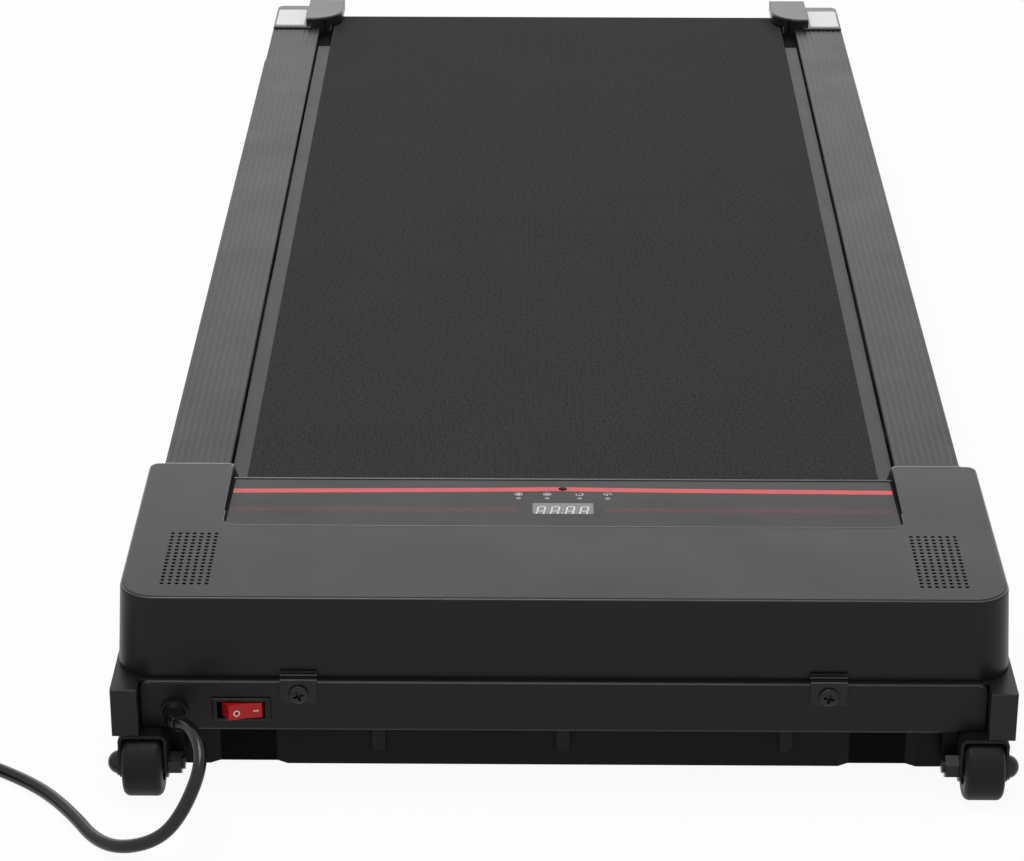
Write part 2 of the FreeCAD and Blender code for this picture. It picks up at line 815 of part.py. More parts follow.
def wheel_bolt():
    """Domed bolt that the right wheel turns on."""
    tip = arm_inner_x - nut_height - wheel_bolt_tip
    shank = rod_x(wheel_bolt_radius, tip, arm_outer_x, wheel_axis_y, wheel_radius)
    flange_end = arm_outer_x + bolt_flange_thickness
    flange = rod_x(bolt_flange_radius, arm_outer_x, flange_end, wheel_axis_y, wheel_radius)
    sphere_radius = (bolt_dome_radius ** 2 + bolt_dome_height ** 2) / (2 * bolt_dome_height)
    centre_x = flange_end + bolt_dome_height - sphere_radius
    ball = Part.makeSphere(sphere_radius, Vector(centre_x, wheel_axis_y, wheel_radius))
    cap = ball.common(rod_x(bolt_flange_radius, flange_end, flange_end + bolt_dome_height + cut_overrun,
                            wheel_axis_y, wheel_radius))
    return shank.fuse(flange).fuse(cap).removeSplitter()


def wheel_lock_nut():
    """Lock nut on the inner end of the right wheel bolt."""
    start = Vector(arm_inner_x - nut_height, wheel_axis_y, wheel_radius)
    end = Vector(arm_inner_x, wheel_axis_y, wheel_radius)
    nut = hexagon_rod(x_axis, nut_across_flats, start, end)
    hole = rod_x(wheel_bolt_radius + fit_clearance, start.x - cut_overrun, end.x + cut_overrun,
                 wheel_axis_y, wheel_radius)
    return nut.cut(hole)


def rear_foot():
    """Tapered rubber foot under the rear of the right side tube."""
    x = (tube_inner_x + tube_outer_x) / 2
    y = rear_y - foot_inset

    def outline(width, length, z):
        corners = [(-1, -1), (1, -1), (1, 1), (-1, 1)]
        points = [Vector(x + sx * width / 2, y + sy * length / 2, z) for sx, sy in corners]
        return Part.makePolygon(points + [points[0]])

    bottom = outline(foot_bottom_width, foot_bottom_length, 0)
    top = outline(side_tube_width, foot_top_length, frame_bottom_z)
    foot = Part.makeLoft([bottom, top], True, True)
    uprights = [edge for edge in foot.Edges if edge.BoundBox.ZLength > frame_bottom_z / 2]
    return foot.makeFillet(foot_round, uprights)


# Deck, rollers and belt


def deck():
    """Board that the belt slides on."""
    return box(-deck_half, deck_half, deck_front_y, deck_rear_y, deck_bottom_z, deck_top_z)


def deck_cushions():
    """Rubber pads between the crossmembers and the deck."""
    pads = []
    for share in deck_crossmember_shares:
        y = deck_front_y + share * deck_length
        for side in (-1, 1):
            x = side * cushion_place_share * belt_half
            pads.append(box(x - cushion_length / 2, x + cushion_length / 2, y - cushion_width / 2,
                            y + cushion_width / 2, crossmember_top_z, deck_bottom_z))
    return Part.makeCompound(pads)


def loop_face(radius):
    """Flat face of the belt's loop seen from the side, at a distance from the roller axes."""
    front, rear = Vector(0, front_roller_y, roller_z), Vector(0, rear_roller_y, roller_z)
    up, out = Vector(0, 0, radius), Vector(0, radius, 0)
    edges = [
        Part.LineSegment(front + up, rear + up).toShape(),
        Part.Arc(rear + up, rear + out, rear - up).toShape(),
        Part.LineSegment(rear - up, front - up).toShape(),
        Part.Arc(front - up, front - out, front + up).toShape(),
    ]
    return Part.Face(Part.Wire(edges))


def walking_belt():
    """Endless belt round both rollers."""
    across = Vector(belt_width, 0, 0)
    loop = loop_face(belt_outer_radius).extrude(across).cut(loop_face(belt_inner_radius).extrude(across))
    loop.translate(Vector(-belt_half, 0, 0))
    return loop


def roller(y):
    """Steel roller tube, open at both ends for its bearings."""
    outer = rod_x(roller_radius, -roller_half, roller_half, y, roller_z)
    bore = roller_radius - roller_wall
    return outer.cut(rod_x(bore, -roller_half - cut_overrun, roller_half + cut_overrun, y, roller_z))


def roller_bearings(y):
    """Ball bearings, drawn as plain rings, inside the two ends of a roller."""
    outer_radius = roller_radius - roller_wall - fit_clearance
    far = roller_half - bearing_inset
    ring = rod_x(outer_radius, far - bearing_width, far, y, roller_z)
    hole = rod_x(axle_radius + running_clearance, far - bearing_width - cut_overrun, far + cut_overrun,
                 y, roller_z)
    return pair(ring.cut(hole))


def front_axle():
    """Fixed shaft of the front roller, tapped at both ends."""
    axle = rod_x(axle_radius, -tube_inner_x, tube_inner_x, front_roller_y, roller_z)
    hole = rod_x(axle_bolt_radius + fit_clearance, tube_inner_x - axle_bolt_depth, tube_inner_x + cut_overrun,
                 front_roller_y, roller_z)
    return axle.cut(hole).cut(mirrored(hole))


def front_axle_bolt():
    """Flanged hexagon bolt that fixes the front axle to the right side plate."""
    shank = rod_x(axle_bolt_radius, tube_inner_x - axle_bolt_depth + axle_end_gap, tube_inner_x,
                  front_roller_y, roller_z)
    head = hexagon_rod(x_axis, axle_bolt_head_radius * 2, Vector(tube_inner_x, front_roller_y, roller_z),
                       Vector(tube_inner_x + axle_bolt_head_height, front_roller_y, roller_z))
    flange = rod_x(axle_bolt_flange_radius, tube_inner_x, tube_inner_x + axle_bolt_flange_thickness,
                   front_roller_y, roller_z)
    return shank.fuse(head).fuse(flange)


def rear_axle():
    """Shaft of the rear roller, drilled for the tension bolts."""
    end = tube_inner_x - axle_end_gap
    axle = rod_x(axle_radius, -end, end, rear_roller_y, roller_z)
    hole = rod_y(tension_bolt_radius + running_clearance, rear_roller_y - axle_radius - cut_overrun,
                 rear_roller_y + axle_radius + cut_overrun, tension_x, roller_z)
    return axle.cut(hole).cut(mirrored(hole))


def tension_plate():
    """Plate on the right side plate that the tension bolt pulls against."""
    inner_x = tension_x - tension_plate_inset
    plate = box(inner_x, plate_inner_x, tension_plate_y, tension_plate_y + tension_plate_thickness,
                roller_z - tension_plate_half_height, roller_z + tension_plate_half_height)
    hole = rod_y(tension_bolt_radius + running_clearance, tension_plate_y - cut_overrun,
                 tension_plate_y + tension_plate_thickness + cut_overrun, tension_x, roller_z)
    return plate.cut(hole)


def tension_bolt():
    """Socket-head bolt that sets the belt's tension on the right."""
    head_y = tension_plate_y + tension_plate_thickness + running_clearance
    shank = rod_y(tension_bolt_radius, rear_roller_y - tension_bolt_reach, head_y, tension_x, roller_z)
    head_end = head_y + tension_head_height
    head = rod_y(tension_head_radius, head_y, head_end, tension_x, roller_z)
    socket_end = Vector(tension_x, head_end - tension_key_depth, roller_z)
    socket = hexagon_rod(y_axis, tension_key_across, socket_end,
                         Vector(tension_x, head_end + cut_overrun, roller_z))
    return shank.fuse(head).cut(socket)


# Side rails


def side_rail():
    """Ribbed foot rail on the right, open underneath."""
    bottom_z = frame_top_z + rail_tube_gap
    outer = box(rail_inner_x, rail_outer_x, rail_front_y, rail_rear_y, bottom_z, rail_top_z)
    inner = box(rail_inner_x + rail_wall, rail_outer_x - rail_wall, rail_front_y - cut_overrun,
                rail_rear_y + cut_overrun, bottom_z - cut_overrun, rail_under_z)
    short_side = box(rail_inner_x - cut_overrun, rail_inner_x + rail_wall, rail_front_y - cut_overrun,
                     rail_rear_y + cut_overrun, bottom_z - cut_overrun, rail_top_z - rail_inner_skirt)
    rail = outer.cut(inner).cut(short_side)
    pitch = (rail_width - 2 * rail_margin) / rail_rib_count
    groove = pitch * rail_groove_share
    tools = []
    for index in range(rail_rib_count):
        x0 = rail_inner_x + rail_margin + pitch * (index + 0.5) - groove / 2
        tools.append(box(x0, x0 + groove, rail_front_y - cut_overrun, rail_rear_y + cut_overrun,
                         rail_top_z - rail_groove_depth, rail_top_z + cut_overrun))
    return rail.cut(Part.makeCompound(tools))


# Motor hood and display panel


def on_panel(shape):
    """Move a piece from the panel's own flat frame to its slope. Y there runs from the panel's front edge."""
    turn = Rotation(x_axis, -panel_slope)
    shape.Placement = Placement(Vector(0, panel_front_y, panel_front_z), turn).multiply(shape.Placement)
    return shape


def panel_seats():
    """Ledges inside the hood that the display panel lies on."""
    top, bottom = -panel_thickness, -panel_thickness - seat_thickness
    front = box(-panel_half, panel_half, -hood_wall, seat_front_depth, bottom, top)
    side = box(panel_half - seat_width, panel_half, 0, panel_length - panel_gap, bottom, top)
    return [on_panel(ledge) for ledge in (front, mirrored(side), side)]


def horn_wall():
    """Inner wall of the hood's right horn, beside the panel."""
    return box(panel_half, horn_wall_x, panel_front_y - hood_wall, horn_rear_y,
               deck_top_z + horn_deck_gap, hood_under_z)


def grille_holes():
    """Round holes over the right speaker."""
    low, high = hood_under_z - cut_overrun, hood_top_z + cut_overrun
    holes = []
    for column in range(grille_columns):
        for row in range(grille_rows):
            x = hood_half - grille_side_inset - grille_pitch * column
            y = hood_front_y + grille_front_inset + grille_pitch * row
            holes.append(rod_z(grille_hole_radius, low, high, x, y))
    return holes


def motor_hood():
    """Moulded shell over the motor, with two horns beside the display panel."""
    foot = rounded_outline(hood_foot_half, hood_foot_y, horn_rear_y, frame_top_z,
                           hood_front_corner, hood_rear_corner)
    top = rounded_outline(hood_half, hood_front_y, horn_rear_y, hood_top_z,
                          hood_front_corner, hood_rear_corner)
    outer = Part.makeLoft([foot, top], True, True)
    outer = outer.makeFillet(hood_top_round, edges_at_height(outer, hood_top_z))
    front_inner, rear_inner = hood_front_corner - hood_wall, hood_rear_corner - hood_wall
    inner_foot = rounded_outline(hood_foot_half - hood_wall, hood_foot_y + hood_wall, horn_rear_y - hood_wall,
                                 frame_top_z, front_inner, rear_inner)
    inner_top = rounded_outline(hood_half - hood_wall, hood_front_y + hood_wall, horn_rear_y - hood_wall,
                                hood_under_z, front_inner, rear_inner)
    hood = outer.cut(Part.makeLoft([inner_foot, inner_top], True, True))
    bay = box(-panel_half, panel_half, panel_front_y, horn_rear_y + cut_overrun, frame_top_z - cut_overrun,
              hood_top_z + cut_overrun)
    bay = bay.makeFillet(panel_corner, upright_edges(bay, lambda point: point.y < panel_rear_y))
    rail_way = box(horn_wall_x, rail_outer_x + horn_rail_gap, horn_rear_y - hood_wall - cut_overrun,
                   horn_rear_y + cut_overrun, frame_top_z - cut_overrun, rail_top_z + horn_rail_gap)
    wall_way = box(panel_half, horn_wall_x, horn_rear_y - hood_wall - cut_overrun, horn_rear_y + cut_overrun,
                   frame_top_z - cut_overrun, deck_top_z + horn_deck_gap)
    for tool in (bay, rail_way, mirrored(rail_way), wall_way, mirrored(wall_way)):
        hood = hood.cut(tool)
    hood = hood.multiFuse([horn_wall(), mirrored(horn_wall())] + panel_seats())
    holes = grille_holes()
    hood = hood.cut(Part.makeCompound(holes + [mirrored(hole) for hole in holes]))
    return hood.removeSplitter()


def panel_window_box(gap, bottom, top):
    """Block the size of the display window in the panel's frame, less a gap all round."""
    block = box(-window_width / 2 + gap, window_width / 2 - gap, window_from_front + gap,
                window_from_front + window_length - gap, bottom, top)
    return block.makeFillet(window_corner, upright_edges(block, lambda point: True))


def display_panel():
    """Sloping plate between the horns, with openings for the window and the remote's eye."""
    half = panel_half - panel_gap
    plate = box(-half, half, panel_gap, panel_length, -panel_thickness, 0)
    front = upright_edges(plate, lambda point: point.y < panel_length / 2)
    plate = plate.makeFillet(panel_corner, front)
    plate = plate.cut(panel_window_box(0, -panel_thickness - cut_overrun, cut_overrun))
    eye = rod_z(remote_eye_radius, -panel_thickness - cut_overrun, cut_overrun, 0, remote_eye_from_front)
    return on_panel(plate.cut(eye))


def display_window():
    """Smoked window over the digits, set flush in the panel."""
    return on_panel(panel_window_box(window_gap, -panel_thickness, 0))


def remote_eye():
    """Dark lens of the remote control's receiver."""
    return on_panel(rod_z(remote_eye_radius - fit_clearance, -panel_thickness, 0, 0, remote_eye_from_front))


def digit_module():
    """Block of lit digits under the window."""
    top = -panel_thickness
    margin = digit_module_margin
    return on_panel(box(-window_width / 2 - margin, window_width / 2 + margin, window_from_front - margin,
                        window_from_front + window_length + margin, top - digit_module_height, top))


def display_board():
    """Circuit board behind the digits."""
    top = -panel_thickness - digit_module_height
    return on_panel(box(-board_width / 2, board_width / 2, board_from_front, board_from_front + board_length,
                        top - board_thickness, top))


def speaker():
    """Small speaker under the right grille: a frame with a throat and a round magnet."""
    half_width, half_length = speaker_frame_width / 2, speaker_frame_length / 2
    under = hood_under_z - speaker_frame_thickness
    frame = box(speaker_x - half_width, speaker_x + half_width, speaker_y - half_length,
                speaker_y + half_length, under, hood_under_z)
    throat = rod_z(speaker_throat_radius, under + speaker_frame_thickness / 2, hood_under_z + cut_overrun,
                   speaker_x, speaker_y)
    magnet = rod_z(speaker_magnet_radius, under - speaker_magnet_height, under, speaker_x, speaker_y)
    return frame.cut(throat).fuse(magnet)


# Drive


def drive_motor():
    """Motor casing with end bells, bored for its shaft."""
    can = rod_x(motor_radius, motor_start_x, motor_end_x, motor_y, motor_z)
    band = motor_radius - motor_bell_step
    for x0, x1 in ((motor_start_x, motor_start_x + motor_bell_length),
                   (motor_end_x - motor_bell_length, motor_end_x)):
        ring = rod_x(motor_radius + cut_overrun, x0, x1, motor_y, motor_z)
        can = can.cut(ring.cut(rod_x(band, x0, x1, motor_y, motor_z)))
    bore = rod_x(motor_shaft_radius + running_clearance, motor_end_x - motor_shaft_reach - axle_end_gap,
                 motor_end_x + cut_overrun, motor_y, motor_z)
    return can.cut(bore)


def motor_cradle():
    """Saddle that holds the motor on its plate."""
    middle = (motor_start_x + motor_end_x) / 2
    half_length, half_width = motor_cradle_length / 2, motor_cradle_width / 2
    block = box(middle - half_length, middle + half_length, motor_y - half_width, motor_y + half_width,
                motor_plate_top_z, motor_plate_top_z + motor_lift + motor_cradle_rise)
    return block.cut(rod_x(motor_radius + motor_cradle_gap, middle - motor_length, middle + motor_length,
                           motor_y, motor_z))


def motor_shaft():
    """Rotor shaft, from inside the motor to the pulley."""
    return rod_x(motor_shaft_radius, motor_end_x - motor_shaft_reach, pulley_outer_x + axle_end_gap,
                 motor_y, motor_z)


def flanged_pulley(radius, y, z):
    """Belt pulley with a low flange at each side."""
    drum = rod_x(radius, pulley_inner_x, pulley_outer_x, y, z)
    for x0 in (pulley_inner_x, pulley_outer_x - pulley_flange_thickness):
        drum = drum.fuse(rod_x(radius + flange_height, x0, x0 + pulley_flange_thickness, y, z))
    return drum


def motor_pulley():
    """Small pulley on the motor shaft."""
    bore = rod_x(motor_shaft_radius + fit_clearance, pulley_inner_x - cut_overrun,
                 pulley_outer_x + cut_overrun, motor_y, motor_z)
    return flanged_pulley(motor_pulley_radius, motor_y, motor_z).cut(bore).removeSplitter()


def roller_pulley():
    """Large pulley and its hub on the right end of the front roller."""
    pulley = flanged_pulley(roller_pulley_radius, front_roller_y, roller_z)
    hub = rod_x(pulley_hub_radius, roller_half, pulley_inner_x, front_roller_y, roller_z)
    foot = rod_x(roller_radius, roller_half, roller_half + pulley_flange_thickness, front_roller_y, roller_z)
    bore = rod_x(axle_radius + pulley_bore_gap, roller_half - cut_overrun, pulley_outer_x + cut_overrun,
                 front_roller_y, roller_z)
    return pulley.fuse(hub).fuse(foot).cut(bore).removeSplitter()


def belt_outline(offset):
    """Face of the drive belt's loop at a distance outside both pulleys."""
    small, large = motor_pulley_radius + offset, roller_pulley_radius + offset
    across = Vector(0, front_roller_y - motor_y, roller_z - motor_z)
    lean = math.asin((large - small) / across.Length)
    heading = math.atan2(across.z, across.y)
    x0 = pulley_inner_x + pulley_flange_thickness + drive_belt_groove_gap
    near, far = Vector(x0, motor_y, motor_z), Vector(x0, front_roller_y, roller_z)

    def direction(angle):
        return Vector(0, math.cos(angle), math.sin(angle))

    upper = direction(heading + math.pi / 2 + lean)
    lower = direction(heading - math.pi / 2 - lean)
    ahead = direction(heading)
    edges = [
        Part.LineSegment(near + upper * small, far + upper * large).toShape(),
        Part.Arc(far + upper * large, far + ahead * large, far + lower * large).toShape(),
        Part.LineSegment(far + lower * large, near + lower * small).toShape(),
        Part.Arc(near + lower * small, near - ahead * small, near + upper * small).toShape(),
    ]
    return Part.Face(Part.Wire(edges))


def drive_belt():
    """Ribbed belt from the motor pulley to the roller pulley."""
    width = Vector(pulley_width - 2 * pulley_flange_thickness - 2 * drive_belt_groove_gap, 0, 0)
    outer = belt_outline(belt_gap + drive_belt_thickness).extrude(width)
    return outer.cut(belt_outline(belt_gap).extrude(width))


def motor_controller():
    """Speed controller in its case, with cooling fins along the top."""
    y0, y1 = motor_y - controller_depth / 2, motor_y + controller_depth / 2
    top = motor_plate_top_z + controller_height
    case = box(controller_start_x, controller_end_x, y0, y1, motor_plate_top_z, top)
    pitch = (controller_depth - 2 * heat_fin_inset - heat_fin_thickness) / (heat_fin_count - 1)
    for index in range(heat_fin_count):
        fin_y = y0 + heat_fin_inset + pitch * index
        fin = box(controller_start_x + heat_fin_inset, controller_end_x - heat_fin_inset, fin_y,
                  fin_y + heat_fin_thickness, top, top + heat_fin_height)
        case = case.fuse(fin)
    return case


def inner_leads():
    """Leads inside the hood: gland to controller, and controller to motor."""
    mains_y = motor_y - controller_depth / 4
    gland_end = Vector(gland_x, bar_front_y + front_bar_wall + gland_body_length, gland_z)
    mains = [
        gland_end,
        gland_end + Vector(0, inner_lead_run, 0),
        Vector(controller_start_x - inner_lead_run / 2, mains_y, gland_z),
        Vector(controller_start_x, mains_y, gland_z),
    ]
    lead_z = motor_plate_top_z + controller_height / 2
    straight = motor_lead_straight_share * (motor_start_x - controller_end_x)
    motor_lead = [
        Vector(controller_end_x, motor_y, lead_z),
        Vector(controller_end_x + straight, motor_y, lead_z),
        Vector(motor_start_x - straight, motor_y, motor_z),
        Vector(motor_start_x, motor_y, motor_z),
    ]
    return Part.makeCompound([tube_along(rounded_route(points)[0], inner_lead_radius)
                              for points in (mains, motor_lead)])


# Belly pan


def pan_boss_places():
    """Where the pan is screwed up to the motor plate."""
    x = pan_boss_place_share * pan_half
    ys = (motor_plate_front_y + pan_boss_radius * 2, motor_plate_rear_y - pan_boss_radius * 2)
    return [(side * x, y) for side in (-1, 1) for y in ys]


def pan_notch():
    """Raised stretch of the pan's underside on the right, with sloping ends, and its front pocket."""
    y0 = bar_front_y
    y1 = front_roller_y + pan_rear_reach + cut_overrun
    low, high = pan_floor_z - cut_overrun, pan_floor_z + pan_notch_rise
    points = [
        Vector(pan_notch_inner - pan_notch_ramp, y0, pan_floor_z),
        Vector(pan_notch_inner, y0, high),
        Vector(pan_notch_outer, y0, high),
        Vector(pan_notch_outer + pan_notch_ramp, y0, pan_floor_z),
        Vector(pan_notch_outer + pan_notch_ramp, y0, low),
        Vector(pan_notch_inner - pan_notch_ramp, y0, low),
    ]
    slope = prism(points, Vector(0, y1 - y0, 0))
    pan_front_y = bar_front_y + pan_front_gap
    pocket_y = pan_front_y + pan_pocket_depth
    plan = [
        Vector(pan_notch_inner - pan_notch_ramp, y0, low),
        Vector(pan_notch_inner - pan_notch_ramp, pan_front_y, low),
        Vector(pan_notch_inner, pocket_y, low),
        Vector(pan_notch_outer, pocket_y, low),
        Vector(pan_notch_outer + pan_notch_ramp, pan_front_y, low),
        Vector(pan_notch_outer + pan_notch_ramp, y0, low),
    ]
    pocket = prism(plan, Vector(0, 0, frame_bottom_z - low))
    return slope.fuse(pocket)


def pan_outer():
    """Outside of the belly pan, with its notches and pockets."""
    y0 = bar_front_y + pan_front_gap
    y1 = front_roller_y + pan_rear_reach
    block = box(-pan_half, pan_half, y0, y1, pan_floor_z, bar_bottom_z)
    block = block.makeFillet(pan_corner, upright_edges(block, lambda point: True))
    return block.cut(pan_notch()).cut(mirrored(pan_notch()))


def pan_inner():
    """Hollow of the belly pan, one wall inside its outside."""
    y0 = bar_front_y + pan_front_gap + pan_wall
    y1 = front_roller_y + pan_rear_reach - pan_wall
    half = pan_half - pan_wall
    hollow = box(-half, half, y0, y1, pan_floor_z + pan_wall + pan_notch_rise, bar_bottom_z + cut_overrun)
    hollow = hollow.makeFillet(pan_corner - pan_wall, upright_edges(hollow, lambda point: True))
    spread = pan_notch_ramp + pan_wall
    pocket = box(pan_notch_inner - spread, pan_notch_outer + spread, y0 - cut_overrun,
                 y0 + pan_pocket_depth, pan_floor_z, bar_bottom_z + 2 * cut_overrun)
    return hollow.cut(pocket).cut(mirrored(pocket))


def belly_pan():
    """Moulded tray under the motor, with front ribs and screw bosses."""
    pan = pan_outer().cut(pan_inner())
    front = bar_front_y + pan_front_gap
    for place in pan_rib_places:
        x0, x1 = place - pan_rib_width / 2, place + pan_rib_width / 2
        pan = pan.fuse(box(x0, x1, front - pan_rib_depth, front + pan_wall,
                           bar_bottom_z - pan_rib_drop, bar_bottom_z))
    low, high = pan_floor_z - cut_overrun, frame_bottom_z + cut_overrun
    head_z = pan_floor_z + pan_notch_rise + pan_screw_head_height
    for x, y in pan_boss_places():
        pan = pan.fuse(rod_z(pan_boss_radius, pan_floor_z + pan_notch_rise, frame_bottom_z, x, y))
        pan = pan.cut(rod_z(pan_screw_radius + fit_clearance, low, high, x, y))
        pan = pan.cut(rod_z(pan_screw_head_radius + fit_clearance, low, head_z, x, y))
    return pan.removeSplitter()


def belly_pan_screws():
    """Screws that hold the pan to the motor plate, sunk in its underside."""
    head_z = pan_floor_z + pan_notch_rise + pan_screw_head_height
    screws = []
    for x, y in pan_boss_places():
        head = rod_z(pan_screw_head_radius, head_z - pan_screw_head_height, head_z, x, y)
        screws.append(head.fuse(rod_z(pan_screw_radius, head_z, motor_plate_top_z, x, y)))
    return Part.makeCompound(screws)


# Front details


def hood_clip():
    """Stepped steel clip on the front bar that holds the hood's lower edge, on the right."""
    back = bar_front_y
    face = back - clip_thickness
    ledge_z = frame_top_z + clip_ledge_rise
    lip_back = hood_foot_y - clip_hood_gap
    lip_face = lip_back - clip_thickness
    bottom = frame_top_z - clip_drop
    x0 = clip_x - clip_width / 2
    points = [
        Vector(x0, face, bottom),
        Vector(x0, back, bottom),
        Vector(x0, back, ledge_z - clip_thickness),
        Vector(x0, lip_back, ledge_z - clip_thickness),
        Vector(x0, lip_back, ledge_z + clip_lip_height),
        Vector(x0, lip_face, ledge_z + clip_lip_height),
        Vector(x0, lip_face, ledge_z),
        Vector(x0, face, ledge_z),
    ]
    hole = rod_y(clip_screw_radius + fit_clearance, face - cut_overrun, back + cut_overrun, clip_x,
                 frame_top_z - clip_screw_drop)
    clip = prism(points, Vector(clip_width, 0, 0))
    corners = [edge for edge in edges_at_height(clip, bottom) if edge.BoundBox.XLength < edge_tolerance]
    return clip.makeFillet(clip_corner, corners).cut(hole)


def hood_clip_screw():
    """Cross-recess screw through the right clip."""
    z = frame_top_z - clip_screw_drop
    face = bar_front_y - clip_thickness
    front = face - clip_head_height
    head = rod_y(clip_head_radius, front, face, clip_x, z)
    head = head.makeFillet(clip_head_round, edges_at_face(head, front))
    for half_x, half_z in ((recess_length / 2, recess_width / 2), (recess_width / 2, recess_length / 2)):
        head = head.cut(box(clip_x - half_x, clip_x + half_x, front - cut_overrun, front + recess_depth,
                            z - half_z, z + half_z))
    return head.fuse(rod_y(clip_screw_radius, face, face + clip_screw_length, clip_x, z))


def switch_case():
    """Bezel and body of the power switch, with the hollow that the rocker tips in."""
    face = bar_front_y - bezel_thickness
    bezel = box(switch_x - bezel_width / 2, switch_x + bezel_width / 2, face, bar_front_y,
                switch_z - bezel_height / 2, switch_z + bezel_height / 2)
    bezel = bezel.makeFillet(bezel_round, edges_at_face(bezel, face))
    body = box(switch_x - switch_body_width / 2, switch_x + switch_body_width / 2,
               bar_front_y, bar_front_y + switch_body_depth,
               switch_z - switch_body_height / 2, switch_z + switch_body_height / 2)
    hollow = box(switch_x - switch_cavity_width / 2, switch_x + switch_cavity_width / 2,
                 face - cut_overrun, face + switch_cavity_depth,
                 switch_z - switch_cavity_height / 2, switch_z + switch_cavity_height / 2)
    pin_half = switch_cavity_height / 2 + rocker_pin_reach + rocker_pin_gap
    pins = rod_z(rocker_pin_radius + rocker_pin_gap, switch_z - pin_half, switch_z + pin_half, switch_x,
                 face + rocker_pivot_depth)
    return bezel.fuse(body).cut(hollow).cut(pins)


def switch_rocker():
    """Red rocker with sloping ends on its two pins, tipped with its left end out."""
    z0 = switch_z - rocker_height / 2
    outline = [
        Vector(-rocker_half_length, -rocker_end_rise, z0),
        Vector(-rocker_ridge_half, -rocker_ridge_rise, z0),
        Vector(0, -rocker_middle_rise, z0),
        Vector(rocker_ridge_half, -rocker_ridge_rise, z0),
        Vector(rocker_half_length, -rocker_end_rise, z0),
        Vector(rocker_back_half, rocker_back_depth, z0),
        Vector(-rocker_back_half, rocker_back_depth, z0),
    ]
    rocker = prism(outline, Vector(0, 0, rocker_height))
    pin_half = switch_cavity_height / 2 + rocker_pin_reach
    rocker = rocker.fuse(rod_z(rocker_pin_radius, switch_z - pin_half, switch_z + pin_half, 0, 0))
    rocker.rotate(Vector(0, 0, 0), z_axis, rocker_tilt)
    rocker.translate(Vector(switch_x, bar_front_y - bezel_thickness + rocker_pivot_depth, 0))
    return rocker


def cord_gland():
    """Round gland with a tapered nose, a flange and a nut behind the bar."""
    flange_front = bar_front_y - gland_flange_thickness
    flange = rod_y(gland_flange_radius, flange_front, bar_front_y, gland_x, gland_z)
    nose = Part.makeCone(lead_radius + gland_tip_wall, gland_flange_radius - gland_nose_step,
                         gland_nose_length, Vector(gland_x, lead_start_y, gland_z), y_axis)
    body_end = bar_front_y + front_bar_wall + gland_body_length
    body = rod_y(gland_body_radius, bar_front_y, body_end, gland_x, gland_z)
    nut_y = bar_front_y + front_bar_wall
    nut = rod_y(gland_nut_radius, nut_y, nut_y + gland_nut_height, gland_x, gland_z)
    return nose.fuse(flange).fuse(body).fuse(nut).removeSplitter()


# Rear caps


def cap_outer_block():
    """Low outer part of the right rear cap."""
    block = box(cap_block_x - cut_overrun, rail_outer_x, cap_front_y, rear_y,
                frame_top_z + rail_tube_gap, cap_top_z)
    middle_y = cap_front_y + cap_length / 2
    rear_corner = upright_edges(block, lambda point: point.x > cap_block_x and point.y > middle_y)
    block = block.makeFillet(cap_corner, rear_corner)
    return block.makeFillet(cap_round, edges_at_height(block, cap_top_z))


def cap_inner_block():
    """Taller inner part of the right rear cap, over the belt's edge and as low as the tension plate."""
    x0 = belt_half - cap_block_overhang
    y0 = cap_front_y + cap_block_setback
    middle_x, middle_y = (x0 + cap_block_x) / 2, (y0 + rear_y) / 2
    block = box(x0, cap_block_x, y0, rear_y, roller_z - tension_plate_half_height, cap_block_top_z)
    front_inner = upright_edges(block, lambda point: point.x < middle_x and point.y < middle_y)
    block = block.makeFillet(cap_block_corner, front_inner)
    return block.makeFillet(cap_round, edges_at_height(block, cap_block_top_z))


def cap_hollow():
    """Everything that is taken out of the right rear cap."""
    far_back = rear_y - cap_wall
    low = frame_top_z - cut_overrun
    y0 = cap_front_y - cut_overrun
    inner_x = cap_inner_wall_x + cap_wall
    slot_half = axle_radius + cap_axle_gap
    key_radius = tension_head_radius + cap_key_hole_gap
    hollow = [
        box(cap_block_x - cap_wall, rail_outer_x - cap_wall, y0, far_back, low, cap_top_z - cap_wall),
        box(inner_x, cap_block_x - cap_wall, cap_front_y + cap_block_setback + cap_wall, far_back, low,
            cap_block_top_z - cap_wall),
        box(0, cap_inner_wall_x, y0, rear_y + cut_overrun, low, belt_top_z + cap_belt_gap),
        box(0, rail_outer_x + cut_overrun, y0, rail_rear_y + cap_rail_gap, low, rail_top_z + cap_rail_gap),
        box(0, deck_half + deck_rail_gap, deck_front_y, deck_rear_y + cap_wall, low,
            deck_top_z + horn_deck_gap),
        box(0, inner_x + cut_overrun, y0, rear_roller_y + slot_half,
            roller_z - slot_half, roller_z + slot_half),
        rod_y(key_radius, far_back - cut_overrun, rear_y + cut_overrun, tension_x, roller_z),
    ]
    return hollow


def rear_cap():
    """Moulded cap over the right end of the rear axle."""
    cap = cap_outer_block().fuse(cap_inner_block())
    for tool in cap_hollow():
        cap = cap.cut(tool)
    seat = box(plate_inner_x, tube_inner_x, rail_rear_y + cap_rail_gap, side_plate_rear_y,
               rail_under_z, cap_top_z - cap_wall)
    cap = cap.fuse(seat)
    x0, x1, y0, y1 = pad_limits()
    pocket = box(x0, x1, y0, y1, cap_top_z - pad_thickness, cap_top_z + cut_overrun)
    pocket = pocket.makeFillet(pad_corner, upright_edges(pocket, lambda point: True))
    return cap.cut(pocket).removeSplitter()


def pad_limits():
    """Sides of the silver pad on the right rear cap."""
    return (cap_block_x + pad_margin, rail_outer_x - pad_margin,
            cap_front_y + pad_front_margin, rear_y - pad_rear_margin)


